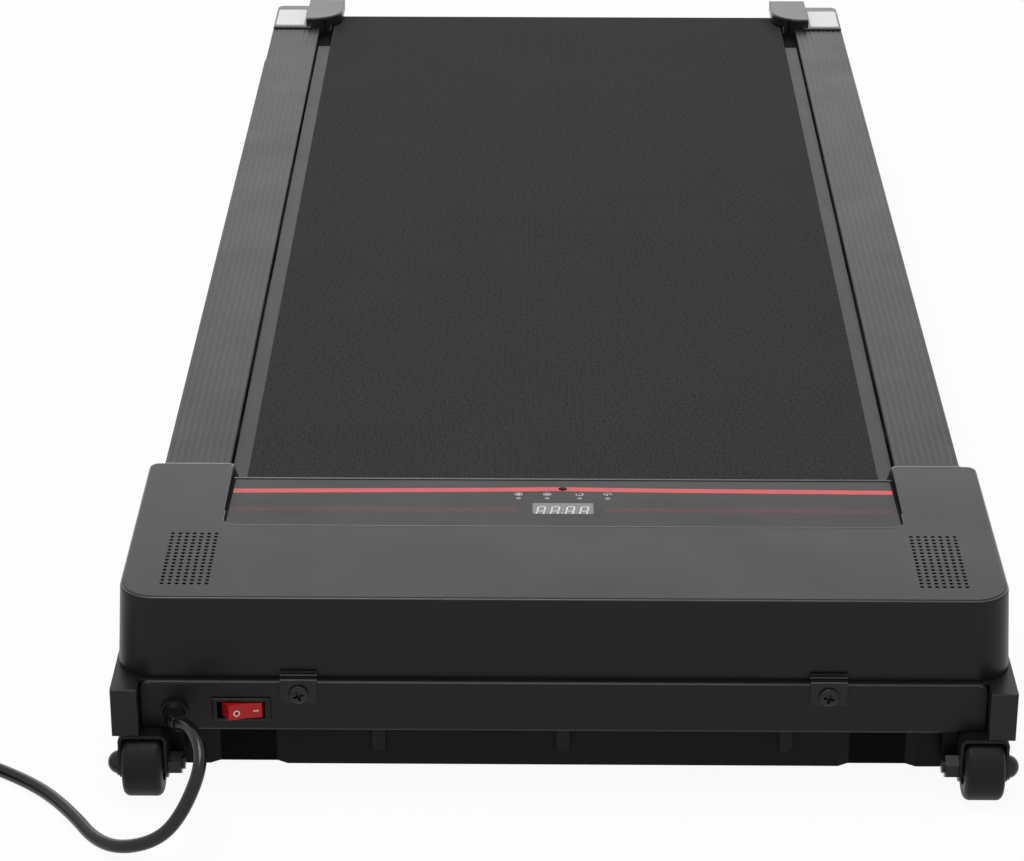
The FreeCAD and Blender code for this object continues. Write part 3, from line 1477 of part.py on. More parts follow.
def rear_cap_pad():
    """Plain silver pad let into the top of the right rear cap."""
    x0, x1, y0, y1 = pad_limits()
    gap = fit_clearance
    pad = box(x0 + gap, x1 - gap, y0 + gap, y1 - gap, cap_top_z - pad_thickness, cap_top_z)
    return pad.makeFillet(pad_corner, upright_edges(pad, lambda point: True))


# Mains lead, coil and plug


def coil_state(turns):
    """Point of the coil's centre line after some turns: in on the lower layer, then out on the upper."""
    middle = coil_turns_per_layer
    climb = coil_climb_turns / 2
    away = abs(turns - middle)
    if away < climb:
        away = (away * away / climb + climb) / 2
    radius = coil_outer_radius - coil_pitch * (coil_turns_per_layer - away)
    rise = min(max((turns - middle + climb) / coil_climb_turns, 0.0), 1.0)
    smooth = rise * rise * (3 - 2 * rise)
    angle = math.radians(coil_start_angle) + 2 * math.pi * turns
    z = lead_radius + lead_lift + coil_layer_pitch * smooth
    return Vector(coil_centre_x + radius * math.cos(angle), coil_centre_y + radius * math.sin(angle), z)


def coil_heading(turns):
    """Direction of the coil's centre line after some turns."""
    step = 1 / (gap_samples_per_turn * gap_samples_per_turn)
    return (coil_state(turns + step) - coil_state(turns - step)).normalize()


def tangent_arc(start, heading, end):
    """Arc from one point to another that leaves along a heading."""
    chord = end - start
    along = Vector(chord).normalize()
    lean = heading.getAngle(along)
    side = heading - along * heading.dot(along)
    if side.Length < straight_tolerance:
        return Part.LineSegment(start, end).toShape()
    middle = (start + end) * 0.5 + side.normalize() * (chord.Length / 2 * math.tan(lean / 2))
    return Part.Arc(start, middle, end).toShape()


def biarc(start, start_heading, end, end_heading):
    """Two tangent arcs between two points with given headings."""
    chord = end - start
    total = start_heading + end_heading
    spread = 2 * (1 - start_heading.dot(end_heading))
    along = chord.dot(total)
    reach = (math.sqrt(along * along + spread * chord.dot(chord)) - along) / spread
    middle = (start + end + (start_heading - end_heading) * reach) * 0.5
    middle_heading = other_heading(end - middle, end_heading)
    return [tangent_arc(start, start_heading, middle), tangent_arc(middle, middle_heading, end)]


def other_heading(chord, heading):
    """Heading at the other end of an arc over a chord."""
    along = Vector(chord).normalize()
    return along * (2 * heading.dot(along)) - heading


def coil_turn_count():
    """Turns from where the lead comes in to where it goes out."""
    return round(2 * coil_turns_per_layer)


def coil_route():
    """Wire of the coil: a straight lead-in, two arcs to each quarter turn and a straight lead-out."""
    count = coil_turn_count() * quarters_per_turn
    marks = [index / quarters_per_turn for index in range(count + 1)]
    start, heading = coil_state(marks[0]), coil_heading(marks[0])
    edges = [Part.LineSegment(start - heading * lead_diameter, start).toShape()]
    for first, second in zip(marks, marks[1:]):
        edges += biarc(coil_state(first), coil_heading(first), coil_state(second), coil_heading(second))
    end, end_heading = coil_state(marks[-1]), coil_heading(marks[-1])
    edges.append(Part.LineSegment(end, end + end_heading * plug_gap).toShape())
    return Part.Wire(edges)


def coil_self_gap():
    """Least gap between turns of the coil, measured on points of its centre line."""
    count = coil_turn_count() * gap_samples_per_turn
    points = [coil_state(index / gap_samples_per_turn) for index in range(count + 1)]
    least = coil_outer_radius
    for first in range(len(points)):
        for second in range(first + gap_samples_per_turn // 2, len(points)):
            least = min(least, points[first].distanceToPoint(points[second]) - lead_diameter)
    return least


def lead_route_points():
    """Route of the free lead, from the gland's nose to the coil."""
    start = Vector(gland_x, lead_start_y, gland_z)
    end = coil_state(0) - coil_heading(0) * lead_diameter
    approach = end - coil_heading(0) * coil_approach
    return [start] + lead_points + [approach, end]


def cord_tie():
    """Flat tie round the turns of the coil at one side."""
    inner_radius = coil_outer_radius - coil_pitch * coil_turns_per_layer - lead_radius - tie_gap
    outer_radius = coil_outer_radius + lead_radius + tie_gap
    low = lead_lift - tie_gap
    high = lead_lift + lead_diameter + coil_layer_pitch + tie_gap
    half = tie_width / 2
    outer = box(inner_radius - tie_thickness, outer_radius + tie_thickness, -half, half, low - tie_thickness,
                high + tie_thickness)
    lengthways = [edge for edge in outer.Edges if edge.BoundBox.YLength > half]
    outer = outer.makeFillet(tie_thickness + tie_gap, lengthways)
    inner = box(inner_radius, outer_radius, -half - cut_overrun, half + cut_overrun, low, high)
    tie = outer.cut(inner)
    tie.rotate(Vector(0, 0, 0), z_axis, tie_angle)
    tie.translate(Vector(coil_centre_x, coil_centre_y, 0))
    return tie


def on_plug(shape):
    """Move a piece from the plug's own frame, where Z runs from the lead to the blades, to its place."""
    last = coil_turn_count()
    heading = coil_heading(last)
    heading.z = 0
    start = coil_state(last) + coil_heading(last) * plug_gap
    shape.Placement = Placement(start, Rotation(z_axis, heading)).multiply(shape.Placement)
    return shape


def plug_radius():
    """The plug's radius, so that it lies on the floor in line with the lead."""
    return coil_state(coil_turn_count()).z


def plug_body():
    """Moulded plug with a tapered strain relief."""
    relief = Part.makeCone(plug_relief_radius, plug_radius() - plug_round, plug_relief_length)
    body = rod_z(plug_radius(), plug_relief_length, plug_relief_length + plug_body_length, 0, 0)
    body = body.makeFillet(plug_round, [edge for edge in body.Edges if len(edge.Vertexes) == 1])
    return on_plug(relief.fuse(body))


def plug_pins():
    """Two flat blades and a round earth pin."""
    z0 = plug_relief_length + plug_body_length
    pins = []
    for side in (-1, 1):
        y = side * blade_spacing / 2
        pins.append(box(-blade_width / 2, blade_width / 2, y - blade_thickness / 2, y + blade_thickness / 2,
                        z0, z0 + blade_length))
    pins.append(rod_z(earth_pin_radius, z0, z0 + earth_pin_length, -earth_pin_offset, 0))
    return Part.makeCompound([on_plug(pin) for pin in pins])


os.makedirs("parts", exist_ok=True)

export_sides("side_tube", side_tube())
export("tube_end_caps", tube_end_caps())
export_sides("side_plate", side_plate())
export("front_bar", front_bar())
export("deck_crossmembers", deck_crossmembers())
export("base_crossmembers", base_crossmembers())
export("motor_plate", motor_plate())
export("wheel_brackets", pair(wheel_bracket()))
export_sides("wheel", wheel())
export("wheel_bolts", pair(wheel_bolt()))
export("wheel_lock_nuts", pair(wheel_lock_nut()))
export("rear_feet", pair(rear_foot()))

export("deck", deck())
export("deck_cushions", deck_cushions())
export("walking_belt", walking_belt())
export("front_roller", roller(front_roller_y))
export("front_roller_bearings", roller_bearings(front_roller_y))
export("front_axle", front_axle())
export("front_axle_bolts", pair(front_axle_bolt()))
export("rear_roller", roller(rear_roller_y))
export("rear_roller_bearings", roller_bearings(rear_roller_y))
export("rear_axle", rear_axle())
export("tension_plates", pair(tension_plate()))
export_sides("tension_bolt", tension_bolt())
export_sides("side_rail", side_rail())

export("motor_hood", motor_hood())
export("display_panel", display_panel())
export("display_window", display_window())
export("remote_eye", remote_eye())
export("digit_module", digit_module())
export("display_board", display_board())
export("speakers", pair(speaker()))

export("drive_motor", drive_motor())
export("motor_cradle", motor_cradle())
export("motor_shaft", motor_shaft())
export("motor_pulley", motor_pulley())
export("roller_pulley", roller_pulley())
export("drive_belt", drive_belt())
export("motor_controller", motor_controller())
export("inner_leads", inner_leads())

export("belly_pan", belly_pan())
export("belly_pan_screws", belly_pan_screws())
export("hood_clips", pair(hood_clip()))
export("hood_clip_screws", pair(hood_clip_screw()))
export("switch_case", switch_case())
export("switch_rocker", switch_rocker())
export("cord_gland", cord_gland())
export_sides("rear_cap", rear_cap())
export("rear_cap_pads", pair(rear_cap_pad()))

lead_route, lead_radii = rounded_route(lead_route_points())
power_cord = tube_along(lead_route, lead_radius)
coil_wire = coil_route()
power_cord_coil = tube_along(coil_wire, lead_radius)
export("power_cord", power_cord)
export("power_cord_coil", power_cord_coil)
export("cord_tie", cord_tie())
export("plug_body", plug_body())
export("plug_pins", plug_pins())

section = math.pi * lead_radius ** 2
print("lead radii", [round(radius, 1) for radius in lead_radii])
print("lead length", round(lead_route.Length, 1), "volume share",
      round(power_cord.Volume / section / lead_route.Length, 4))
print("coil length", round(coil_wire.Length, 1), "volume share",
      round(power_cord_coil.Volume / section / coil_wire.Length, 4))
print("coil least gap to itself", round(coil_self_gap(), 2))
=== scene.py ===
# %% [markdown]
# # Dressing a walking pad
# The imported CAD model is the frame of this scene: sixty solid pieces in metres, with the floor at zero,
# the motor end towards minus Y and the rear caps towards plus Y. Everything below is set against those
# pieces, so nothing has to be fitted by eye.

# %% Load the frame
import math

import bmesh
import bpy
from mathutils import Matrix, Vector


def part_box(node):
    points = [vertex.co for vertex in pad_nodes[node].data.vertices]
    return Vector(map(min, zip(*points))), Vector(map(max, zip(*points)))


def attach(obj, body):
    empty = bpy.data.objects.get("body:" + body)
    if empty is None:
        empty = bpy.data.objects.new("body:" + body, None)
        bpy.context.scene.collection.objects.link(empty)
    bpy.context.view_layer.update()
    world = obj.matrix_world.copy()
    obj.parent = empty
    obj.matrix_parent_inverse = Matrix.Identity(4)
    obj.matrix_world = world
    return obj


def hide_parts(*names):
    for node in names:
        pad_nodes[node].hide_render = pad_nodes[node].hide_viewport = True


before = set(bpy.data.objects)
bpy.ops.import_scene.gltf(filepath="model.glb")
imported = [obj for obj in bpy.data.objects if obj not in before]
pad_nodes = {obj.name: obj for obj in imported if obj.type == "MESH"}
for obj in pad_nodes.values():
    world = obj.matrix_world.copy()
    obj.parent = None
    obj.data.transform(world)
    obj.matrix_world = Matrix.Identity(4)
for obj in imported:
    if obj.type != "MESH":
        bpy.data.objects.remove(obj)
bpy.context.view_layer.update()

MM = 0.001
SIDES = ((-1, "left"), (1, "right"))

# %% [markdown]
# ## Camera
# The photograph was taken with a long lens from above the motor end. Its focal length, place and tilt
# were solved from the pad's own edges, so the camera is written down as numbers: where it stands, and
# three small turns. Building the rotation from its three axes avoids any doubt about Euler order.

# %% Camera from the solved view
image_width = 1024
focal_length_px = 3278.2
camera_place = Vector((-16.2, -2268.4, 1009.5)) * MM
yaw, pitch, roll = (math.radians(turn) for turn in (0.484, 24.566, 0.0597))

lens = bpy.data.cameras.new("photo_camera")
lens.sensor_width = 36.0
lens.lens = focal_length_px * lens.sensor_width / image_width
ahead = Vector((-math.sin(yaw) * math.cos(pitch), math.cos(yaw) * math.cos(pitch), -math.sin(pitch)))
level = Vector((math.cos(yaw), math.sin(yaw), 0))
upward = level.cross(ahead)
across = level * math.cos(roll) + upward * math.sin(roll)
upright = upward * math.cos(roll) - level * math.sin(roll)
camera = bpy.data.objects.new("photo_camera", lens)
camera_turn = Matrix((across, upright, -ahead)).transposed().to_4x4()
camera.matrix_world = Matrix.Translation(camera_place) @ camera_turn
bpy.context.scene.collection.objects.link(camera)
bpy.context.scene.camera = camera
print("lens", round(lens.lens, 2), "mm")

# %% [markdown]
# ## Mains lead
# The lead leaves the gland beside the switch, dips to the floor and runs off to the left. About 1.77 m of
# it is needed, and what the photograph doesn't show is wound into a tied coil of five turns in two layers.
# A NURBS curve with a round bevel is the natural tool: a few control points give one smooth line. The turns
# come from a formula, because a coil is a rule: a radius that shrinks by one pitch a turn on the lower
# layer and grows again on the upper one. A quadratic spline runs inside its control points, so those of the
# turns stand out by the small factor called bulge. The bevel is one metre times each point's own radius, half
# the lead's diameter, because a curve's box takes in its points' radii.

# %% Route of the lead, and its turns
lead_diameter = 8.0 * MM
lead_route = [(-229.6, -584.9, 54.0), (-229.6, -596.0, 56.0), (-214.8, -615.5, 64.6), (-206.6, -639.5, 56.0),
              (-216.0, -659.4, 35.5), (-230.4, -661.6, 16.9), (-253.5, -656.4, 7.1), (-271.5, -642.0, 4.1),
              (-287.0, -615.0, 4.1), (-308.0, -587.0, 4.1), (-334.0, -566.0, 4.3)]
coil_middle, coil_radius, coil_pitch, layer_pitch = (-412.5, -590.0), 56.0, 8.8, 8.5
turns_per_layer, climb_turns, start_angle, coil_lift = 2.5, 0.5, 64.0, 5.3
points_per_turn = 24
bulge = 1 / (0.75 + 0.25 * math.cos(2 * math.pi / points_per_turn))


def coil_point(turns, swell=1.0):
    """Centre of the lead after some turns, in millimetres: inwards below, then outwards above."""
    half_climb = climb_turns / 2
    away = abs(turns - turns_per_layer)
    if away < half_climb:
        away = (away * away / half_climb + half_climb) / 2
    radius = (coil_radius - coil_pitch * (turns_per_layer - away)) * swell
    rise = min(max((turns - turns_per_layer + half_climb) / climb_turns, 0.0), 1.0)
    angle = math.radians(start_angle) + 2 * math.pi * turns
    return Vector((coil_middle[0] + radius * math.cos(angle), coil_middle[1] + radius * math.sin(angle),
                   coil_lift + layer_pitch * rise * rise * (3 - 2 * rise)))


def coil_heading(turns):
    """Direction of the lead after some turns."""
    step = 0.0005
    return (coil_point(turns + step) - coil_point(turns - step)).normalized()


turn_count = round(2 * turns_per_layer)
entry_runs, plug_run = (34.0, 8.0), 40.0
coil_in, coil_out = coil_point(0), coil_point(turn_count)
lead_line = [Vector(point) for point in lead_route]
lead_line += [coil_in - coil_heading(0) * run for run in entry_runs]
lead_line += [coil_point(index / points_per_turn, bulge) for index in range(1, turn_count * points_per_turn)]
lead_line += [coil_out + coil_heading(turn_count) * run for run in (0, plug_run / 2, plug_run)]
print(len(lead_line), "control points,", turn_count, "turns")


# %% The lead as one NURBS spline
def nurbs_line(name, points):
    """An open quadratic NURBS curve through the given control points, in millimetres."""
    curve = bpy.data.curves.new(name, "CURVE")
    curve.dimensions = "3D"
    spline = curve.splines.new("NURBS")
    spline.points.add(len(points) - 1)
    for target, point in zip(spline.points, points):
        target.co = (*(Vector(point) * MM), 1)
        target.radius = lead_diameter / 2
    spline.order_u = 3
    spline.use_endpoint_u = True
    spline.resolution_u = 10
    return curve


power_lead = bpy.data.objects.new("power_lead", nurbs_line("power_lead", lead_line))
power_lead.data.bevel_depth = 1.0
power_lead.data.bevel_resolution = 5
bpy.context.scene.collection.objects.link(power_lead)
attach(power_lead, "chassis")
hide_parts("power_cord", "power_cord_coil")
print("lead", power_lead.data.splines[0].calc_length(), "m")

# %% [markdown]
# ## Small helpers for node trees
# A material here is a Principled shader fed by a few procedural nodes. Helpers keep each cell short: one adds
# a node and sets its values, one makes an empty material, and the others are the nodes that most finishes
# share. Numbers that are the same all over a surface are set on the shader's own sockets.

# %% Helpers for materials
def step(tree, kind, links=None, values=None, **settings):
    """Add a node, link some inputs, set others, and return it."""
    node = tree.nodes.new(kind)
    for label, value in settings.items():
        setattr(node, label, value)
    for label, value in (values or {}).items():
        node.inputs[label].default_value = value
    for label, source in (links or {}).items():
        tree.links.new(source, node.inputs[label])
    return node


def add(tree, kind, links=None, values=None, **settings):
    """Add a shader node, named without its prefix."""
    return step(tree, "ShaderNode" + kind, links, values, **settings)


def new_finish(name, roughness, specular=0.5, metallic=0.0, **sockets):
    """A material with a Principled shader, and the values that hold all over it."""
    finish = bpy.data.materials.new(name)
    finish.use_nodes = True
    shader = finish.node_tree.nodes["Principled BSDF"]
    shader.inputs["Roughness"].default_value = roughness
    shader.inputs["Specular IOR Level"].default_value = specular
    shader.inputs["Metallic"].default_value = metallic
    for label, value in sockets.items():
        shader.inputs[label.replace("_", " ")].default_value = value
    return finish, finish.node_tree, shader


def shade(colour, share):
    """A colour made lighter or darker by a share, with its alpha."""
    return tuple(min(channel * share, 1.0) for channel in colour) + (1.0,)


def ramp(tree, factor, stops):
    """A colour ramp over a factor, from places and colours."""
    node = add(tree, "ValToRGB", {"Fac": factor})
    band = node.color_ramp
    while len(band.elements) < len(stops):
        band.elements.new(0.5)
    for element, (place, colour) in zip(band.elements, stops):
        element.position = place
        element.color = colour
    return node.outputs["Color"]


def noise(tree, coordinates, cell_mm, detail=2.0, rough=0.5):
    """Noise whose lumps are about so many millimetres wide."""
    node = add(tree, "TexNoise", {"Vector": coordinates},
               {"Scale": 1 / (cell_mm * MM), "Detail": detail, "Roughness": rough})
    return node.outputs["Fac"]


def soft_edge(tree, width_mm):
    """Normal that rounds sharp edges in the shading, as a moulding or a paint coat does."""
    return add(tree, "Bevel", values={"Radius": width_mm * MM}, samples=4).outputs["Normal"]


def bump(tree, height, depth_mm, normal=None, strength=1.0):
    """Normal from a height, as deep as given in millimetres."""
    links = {"Height": height}
    if normal is not None:
        links["Normal"] = normal
    return add(tree, "Bump", links, {"Strength": strength, "Distance": depth_mm * MM}).outputs["Normal"]


# %% [markdown]
# ## Moulded and painted finishes
# Most of the pad is black: grained plastic for the hood, rails and caps, smoother plastic for panel and
# switch, and powder paint on the steel. They differ in grain, gloss and how much the colour drifts. One
# recipe covers them: a slow cloud of noise drifts the colour and the roughness, a fine one is the grain, and
# a bevel in the shading gives every edge the small radius that catches the light.

# %% One recipe for moulded, cast and painted surfaces
def surface_finish(name, colour, roughness, specular, grain_mm, grain_depth_mm, drift=0.12, edge_mm=0.5,
                   metallic=0.0, rough_drift=0.06, **sockets):
    """Grained surface with a slow drift of colour and gloss, and softened edges."""
    finish, tree, shader = new_finish(name, roughness, specular, metallic, **sockets)
    place = add(tree, "TexCoord").outputs["Object"]
    cloud = noise(tree, place, 60, 3.0)
    grain = noise(tree, place, grain_mm, 3.0, 0.6)
    blend = add(tree, "Math", {0: cloud, 1: grain}, operation="ADD").outputs[0]
    half = add(tree, "Math", {0: blend}, {1: 0.5}, operation="MULTIPLY").outputs[0]
    colours = ramp(tree, half, [(0.35, shade(colour, 1 - drift)), (0.65, shade(colour, 1 + drift))])
    tree.links.new(colours, shader.inputs["Base Color"])
    gloss = add(tree, "MapRange", {"Value": half}, {"From Min": 0.3, "From Max": 0.7,
                "To Min": roughness - rough_drift, "To Max": roughness + rough_drift}).outputs["Result"]
    tree.links.new(gloss, shader.inputs["Roughness"])
    tree.links.new(bump(tree, grain, grain_depth_mm, soft_edge(tree, edge_mm)), shader.inputs["Normal"])
    return finish


finishes = {}


def dress(rows):
    """Make each row's finish and give it to the row's CAD nodes."""
    for name, colour, roughness, specular, grain_mm, grain_depth_mm, others, nodes in rows:
        finishes[name] = surface_finish(name, colour, roughness, specular, grain_mm, grain_depth_mm, **others)
        for node in nodes:
            pad_nodes[node].data.materials.clear()
            pad_nodes[node].data.materials.append(finishes[name])
    print("nodes dressed so far:", sum(1 for node in pad_nodes.values() if node.data.materials))


# Name, colour, roughness, specular, width and depth of the grain in millimetres, other values, CAD nodes
dress((
    ("hood_plastic", (0.0065, 0.0065, 0.0070), 0.34, 0.20, 0.45, 0.010, {"edge_mm": 0.7}, ["motor_hood"]),
    ("panel_plastic", (0.0070, 0.0070, 0.0076), 0.42, 0.15, 0.8, 0.004, {"edge_mm": 0.6}, ["display_panel"]),
    ("black_plastic", (0.006, 0.006, 0.0063), 0.38, 0.20, 0.5, 0.012, {"edge_mm": 0.6},
     ["switch_case", "cord_gland", "cord_tie", "remote_eye"]),
    ("pan_plastic", (0.004, 0.004, 0.0042), 0.55, 0.12, 0.7, 0.02, {"edge_mm": 0.8}, ["belly_pan"]),
    ("cap_plastic", (0.012, 0.012, 0.0125), 0.28, 0.40, 0.5, 0.010, {"edge_mm": 0.7},
     ["left_rear_cap", "right_rear_cap"]),
    ("rail_plastic", (0.0072, 0.0072, 0.0075), 0.38, 0.185, 0.5, 0.008, {"edge_mm": 0.3}, []),
    ("frame_paint", (0.0065, 0.0065, 0.0068), 0.40, 0.20, 1.4, 0.02, {"edge_mm": 0.8},
     ["left_side_tube", "right_side_tube", "left_side_plate", "right_side_plate", "front_bar",
      "deck_crossmembers", "base_crossmembers", "motor_plate", "wheel_brackets", "tension_plates"]),
    ("end_cap_plastic", (0.011, 0.011, 0.0114), 0.42, 0.22, 0.9, 0.02, {"edge_mm": 0.9}, ["tube_end_caps"]),
    ("clip_paint", (0.007, 0.007, 0.0073), 0.34, 0.25, 1.2, 0.015, {"edge_mm": 0.5}, ["hood_clips"]),
))

# %% [markdown]
# ## Metals, rubber and the drive
# Axles, bolts and nuts are zinc plated, the rollers are turned steel, the pulleys cast, the motor painted and
# the controller aluminium. The same recipe serves, with metallic set to one where it is metal. The foot pads
# and the tyres are rubber: rough, and a little lighter where they are scuffed.

# %% Metals, rubber and other inner finishes
dress((
    ("zinc_steel", (0.50, 0.51, 0.53), 0.34, 0.5, 2.0, 0.01, {"metallic": 1.0, "edge_mm": 0.3},
     ["front_axle_bolts", "left_tension_bolt", "right_tension_bolt", "motor_shaft"]),
    ("dark_screw_steel", (0.022, 0.022, 0.023), 0.36, 0.35, 1.0, 0.01, {"metallic": 0.6, "edge_mm": 0.25},
     ["wheel_bolts", "wheel_lock_nuts", "front_axle", "rear_axle", "front_roller_bearings",
      "rear_roller_bearings"]),
    ("roller_steel", (0.42, 0.42, 0.43), 0.30, 0.5, 6.0, 0.01, {"metallic": 1.0, "edge_mm": 0.4},
     ["front_roller", "rear_roller"]),
    ("cast_iron", (0.16, 0.16, 0.165), 0.5, 0.5, 1.5, 0.05, {"metallic": 1.0, "edge_mm": 0.4},
     ["roller_pulley", "motor_pulley"]),
    ("plug_brass", (0.62, 0.47, 0.20), 0.28, 0.5, 2.0, 0.01, {"metallic": 1.0, "edge_mm": 0.3},
     ["plug_pins"]),
    ("motor_paint", (0.03, 0.032, 0.036), 0.4, 0.4, 1.2, 0.03, {"edge_mm": 0.6}, ["drive_motor"]),
    ("controller_metal", (0.48, 0.49, 0.50), 0.38, 0.5, 1.0, 0.02, {"metallic": 1.0, "edge_mm": 0.4},
     ["motor_controller", "motor_cradle"]),
    ("soft_rubber", (0.012, 0.012, 0.012), 0.75, 0.2, 0.8, 0.05, {"drift": 0.25, "edge_mm": 0.8},
     ["rear_feet", "deck_cushions", "drive_belt", "inner_leads"]),
    ("wheel_rubber", (0.007, 0.007, 0.0073), 0.50, 0.18, 0.9, 0.04, {"drift": 0.2, "edge_mm": 0.8},
     ["left_wheel", "right_wheel"]),
    ("board_lacquer", (0.01, 0.07, 0.03), 0.35, 0.5, 1.0, 0.02, {"drift": 0.2}, ["display_board"]),
    ("speaker_cone", (0.012, 0.012, 0.012), 0.8, 0.2, 0.6, 0.05, {}, ["speakers", "digit_module"]),
))

# %% [markdown]
# ## Deck board, switch, window and silver pads
# The deck's edges show as two lighter strips of laminate beside the belt. The rocker is a clear red plastic,
# the window a grey filter, and the pads on the rear caps a plain matt silver.

# %% Deck, switch, window and pads
dress((
    ("deck_laminate", (0.027, 0.027, 0.0276), 0.45, 0.16, 3.0, 0.006, {"edge_mm": 0.8}, ["deck"]),
    ("switch_red", (0.42, 0.007, 0.009), 0.26, 0.18, 3.0, 0.004,
     {"drift": 0.08, "edge_mm": 0.5, "rough_drift": 0.03, "Coat_Weight": 0.1, "Coat_Roughness": 0.10},
     ["switch_rocker"]),
    ("window_filter", (0.098, 0.098, 0.101), 0.26, 0.28, 2.0, 0.002,
     {"drift": 0.05, "edge_mm": 0.15, "rough_drift": 0.03}, ["display_window"]),
    ("silver_foil", (0.62, 0.62, 0.635), 0.46, 0.4, 0.8, 0.006,
     {"drift": 0.04, "edge_mm": 0.2, "metallic": 0.25}, ["rear_cap_pads"]),
))

# %% [markdown]
# ## Skin of the lead
# A mains lead is smooth PVC with a soft gloss. The noise runs on Object coordinates, as on every piece.

# %% Lead finish
dress([("lead_skin", (0.006, 0.006, 0.0063), 0.20, 0.34, 2.5, 0.008,
        {"drift": 0.15, "edge_mm": 0.1, "rough_drift": 0.04},
        ["power_cord", "power_cord_coil", "plug_body"])])
lead_skin = finishes["lead_skin"]
power_lead.data.materials.append(lead_skin)

# %% [markdown]
# ## Geometry Nodes helpers
# A tree of geometry nodes states a rule once: a profile swept along a path, or a screw set on each of some
# points. A helper makes the tree with its named inputs, one gives it the end that all trees share, and
# another runs it and keeps the result as a plain mesh, because the export drops live instances. The shared
# end keeps edges sharp where the faces turn by more than an angle, and sets the finish.

# %% Helpers for geometry trees
def geometry_tree(name, inputs):
    """An empty tree with named inputs, given as label, socket kind and value."""
    tree = bpy.data.node_groups.new(name, "GeometryNodeTree")
    tree.interface.new_socket("Geometry", in_out="INPUT", socket_type="NodeSocketGeometry")
    for label, kind, value in inputs:
        socket = tree.interface.new_socket(label, in_out="INPUT", socket_type="NodeSocket" + kind)
        if value is not None:
            socket.default_value = value
    tree.interface.new_socket("Geometry", in_out="OUTPUT", socket_type="NodeSocketGeometry")
    return tree, tree.nodes.new("NodeGroupInput").outputs, tree.nodes.new("NodeGroupOutput").inputs


def end_tree(tree, shape, given, made):
    """End a tree: edges sharp past an angle, real geometry, and the finish."""
    angle = step(tree, "GeometryNodeInputMeshEdgeAngle").outputs["Unsigned Angle"]
    flat = step(tree, "FunctionNodeCompare", {"A": angle, "B": given["Sharp Angle"]}, data_type="FLOAT",
                operation="LESS_EQUAL").outputs["Result"]
    smooth = step(tree, "GeometryNodeSetShadeSmooth", {"Geometry": shape}, domain="FACE").outputs["Geometry"]
    smooth = step(tree, "GeometryNodeSetShadeSmooth", {"Geometry": smooth, "Shade Smooth": flat},
                  domain="EDGE").outputs["Geometry"]
    solid = step(tree, "GeometryNodeRealizeInstances", {"Geometry": smooth}).outputs["Geometry"]
    final = step(tree, "GeometryNodeSetMaterial", {"Geometry": solid, "Material": given["Finish"]})
    tree.links.new(final.outputs["Geometry"], made["Geometry"])
    return tree


def add_piece(name, mesh, body, finish=None):
    """A mesh as a piece that rides on a body and takes a finish, when one is given."""
    piece = bpy.data.objects.new(name, mesh)
    bpy.context.scene.collection.objects.link(piece)
    if finish is not None:
        mesh.materials.clear()
        mesh.materials.append(finish)
    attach(piece, body)
    return piece


def grow(tree, host, values):
    """Run a tree on a host object, and return what it makes as a plain mesh. The host is removed."""
    bpy.context.scene.collection.objects.link(host)
    modifier = host.modifiers.new(tree.name, "NODES")
    modifier.node_group = tree
    for item in tree.interface.items_tree:
        if item.item_type == "SOCKET" and item.in_out == "INPUT" and item.name in values:
            modifier[item.identifier] = values[item.name]
    bpy.context.view_layer.update()
    mesh = bpy.data.meshes.new_from_object(host.evaluated_get(bpy.context.evaluated_depsgraph_get()))
    host.modifiers.remove(modifier)
    bpy.data.objects.remove(host)
    return mesh


def poly_curve(name, points, closed):
    """A curve of straight runs, in millimetres."""
    curve = bpy.data.curves.new(name, "CURVE")
    curve.dimensions = "3D"
    spline = curve.splines.new("POLY")
    spline.points.add(len(points) - 1)
    for target, point in zip(spline.points, points):
        target.co = (*(Vector(point) * MM), 1)
    spline.use_cyclic_u = closed
    return bpy.data.objects.new(name, curve)


# %% [markdown]
# ## Sweeping a profile
# The belt, the rails and the trim are all one outline carried along a line. The tree takes the path from its
# host curve and the outline from a second curve, sweeps it, and stores how far along and how far round each
# point is. Rounded corners and round outlines all come from one helper that gives the points of an arc.

# %% Tree for a swept profile
def sweep_tree():
    """Tree that sweeps a profile along its host curve."""
    tree, given, made = geometry_tree("sweep_profile", [
        ("Profile", "Object", None), ("Sharp Angle", "Float", 0.6), ("Caps", "Bool", True),
        ("Seam Gap", "Float", 0.00002), ("Finish", "Material", None)])
    along = step(tree, "GeometryNodeSplineParameter").outputs["Length"]
    path = step(tree, "GeometryNodeCaptureAttribute", domain="POINT")
    path.capture_items.new("FLOAT", "Along")
    tree.links.new(given["Geometry"], path.inputs["Geometry"])
    tree.links.new(along, path.inputs["Along"])
    outline = step(tree, "GeometryNodeObjectInfo", {"Object": given["Profile"]}).outputs["Geometry"]
    round_way = step(tree, "GeometryNodeCaptureAttribute", domain="POINT")
    round_way.capture_items.new("FLOAT", "Round")
    tree.links.new(outline, round_way.inputs["Geometry"])
    tree.links.new(along, round_way.inputs["Round"])
    swept = step(tree, "GeometryNodeCurveToMesh", {"Curve": path.outputs["Geometry"],
                 "Profile Curve": round_way.outputs["Geometry"], "Fill Caps": given["Caps"]}).outputs["Mesh"]
    for label, source in (("along", path.outputs["Along"]), ("round", round_way.outputs["Round"])):
        swept = step(tree, "GeometryNodeStoreNamedAttribute", {"Geometry": swept, "Value": source},
                     {"Name": label}, data_type="FLOAT", domain="POINT").outputs["Geometry"]
    swept = step(tree, "GeometryNodeMergeByDistance",
                 {"Geometry": swept, "Distance": given["Seam Gap"]}).outputs["Geometry"]
    return end_tree(tree, swept, given, made)


profile_sweep = sweep_tree()


